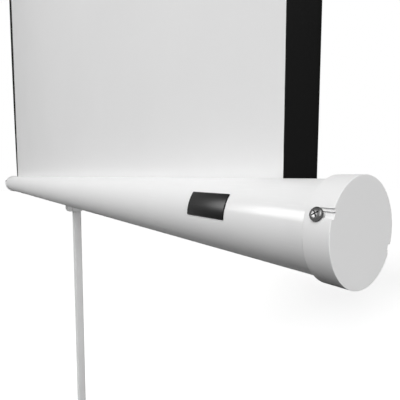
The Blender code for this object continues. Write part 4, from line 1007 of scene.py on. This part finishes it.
def seen_rays(tree):
    """1 for rays from the camera, off a glossy surface or through a clear one, and 0 for all others."""
    rays = tree.nodes.new("ShaderNodeLightPath")
    seen = math_node(tree, "MAXIMUM", rays.outputs["Is Camera Ray"], rays.outputs["Is Glossy Ray"])
    return math_node(tree, "MAXIMUM", seen, rays.outputs["Is Transmission Ray"])


def make_stage():
    """A white floor that keeps the shadow. Diffuse rays see it dark, so it throws little light back up."""
    bpy.ops.mesh.primitive_plane_add(size=FLOOR_SIZE)
    floor = bpy.context.object
    floor.name = "studio_floor"
    finish, tree, shader = new_finish("studio_floor")
    dark, bright, glow = 0.05, 0.97, 0.66
    seen = seen_rays(tree)
    set_inputs(shader, Roughness=1.0, Specular_IOR_Level=0.0, Emission_Strength=1.0)
    tree.links.new(mix_colours(tree, seen, grey(dark), grey(bright)), shader.inputs["Base Color"])
    tree.links.new(mix_colours(tree, seen, grey(0.0), grey(glow)), shader.inputs["Emission Color"])
    floor.data.materials.append(finish)


def make_world():
    """A dim sky, paler above, for diffuse rays. Camera, glossy and clear rays see white."""
    world = bpy.data.worlds.new("studio_air")
    bpy.context.scene.world = world
    world.use_nodes = True
    tree = world.node_tree
    low_sky, high_sky, fade_start, fade_end = 0.03, 0.10, 0.10, 0.80
    back = tree.nodes["Background"]
    direction = tree.nodes.new("ShaderNodeTexCoord").outputs["Generated"]
    ramp = tree.nodes.new("ShaderNodeMapRange")
    ramp.interpolation_type = "SMOOTHSTEP"
    tree.links.new(split_xyz(tree, direction)["Z"], ramp.inputs["Value"])
    set_inputs(ramp, From_Min=fade_start, From_Max=fade_end)
    sky = mix_colours(tree, ramp.outputs["Result"], grey(low_sky), grey(high_sky))
    tree.links.new(mix_colours(tree, seen_rays(tree), sky, grey(1.0)), back.inputs["Color"])
    set_inputs(back, Strength=1.0)


def add_area(name, place, target, size, watts):
    """A square lamp that looks at a point and isn't seen by the camera itself."""
    lamp = bpy.data.lights.new(name, "AREA")
    lamp.size = size
    lamp.energy = watts
    item = add_item(name, lamp)
    item.location = place
    item.rotation_euler = (Vector(target) - Vector(place)).to_track_quat("-Z", "Y").to_euler()
    item.visible_camera = False
    return item


def make_lights():
    """A soft sun from the front and above, and five lamps: one on the case's near end, one that gives the
    band of gloss on the tube, one on the near cap's face, one on the pole and one from behind."""
    sun = bpy.data.lights.new("soft_sun", "SUN")
    sun.energy = 1.74
    sun.angle = math.radians(25)
    item = add_item("soft_sun", sun)
    item.rotation_euler = Vector((-0.22, 0.82, -0.53)).to_track_quat("-Z", "Y").to_euler()
    add_area("near_front", (1.3, -1.5, 3.0), (0.6, CASE_Y, CASE_Z + 0.1), size=1.2, watts=21)
    band_from = (-1.2, CASE_Y - 2.2, CASE_Z + 1.25)
    strip = add_area("shine_strip", band_from, (0.8, CASE_Y, CASE_Z), size=0.9, watts=80)
    strip.visible_diffuse = False
    end_from = (3.2, CASE_Y - 0.2, CASE_Z + 0.15)
    add_area("end_light", end_from, (0.83, CASE_Y, CASE_Z), size=0.8, watts=27)
    low = add_area("pole_light", (1.6, -0.25, 0.35), (0, 0, 0.75), size=0.5, watts=0.41)
    low.data.spread = math.radians(50)
    add_area("back_fill", (0.6, 2.8, 2.1), (0, 0, 1.3), size=2.0, watts=20)


def make_camera():
    """The photo's camera: its place and direction from the fitted azimuth and pitch."""
    camera = bpy.data.cameras.new("photo_camera")
    camera.lens = CAMERA_LENS
    camera.sensor_width = 36
    camera.clip_start = 0.01
    camera.clip_end = 100
    item = add_item("photo_camera", camera)
    a, p = CAMERA_AZIMUTH, CAMERA_PITCH
    ahead = Vector((-math.cos(p) * math.sin(a), math.cos(p) * math.cos(a), -math.sin(p)))
    item.location = Vector((0, CASE_Y, CASE_Z)) + Vector(CAMERA_FROM_CASE)
    item.rotation_euler = ahead.to_track_quat("-Z", "Y").to_euler()
    bpy.context.scene.camera = item


make_tube()
make_cap("right", 1)
make_cap("left", -1)
for end, sign in (("right", 1), ("left", -1)):
    make_screw(f"cap_screw_{end}_front", sign, SCREW_ANGLE)
    make_screw(f"cap_screw_{end}_back", sign, SCREW_ANGLE + math.pi)
make_plate()
make_handle()
make_sheet()
make_top_bar()
make_bail()
make_poles()
for side in LEG_AZIMUTHS:
    make_foot(side)
make_knob("collar_knob", "collar_knob_body", "x")
make_knob("slider_knob", "slider_knob_body", "y")
dress_frame()
make_stage()
make_world()
make_lights()
make_camera()
bpy.context.scene.view_settings.view_transform = "Standard"
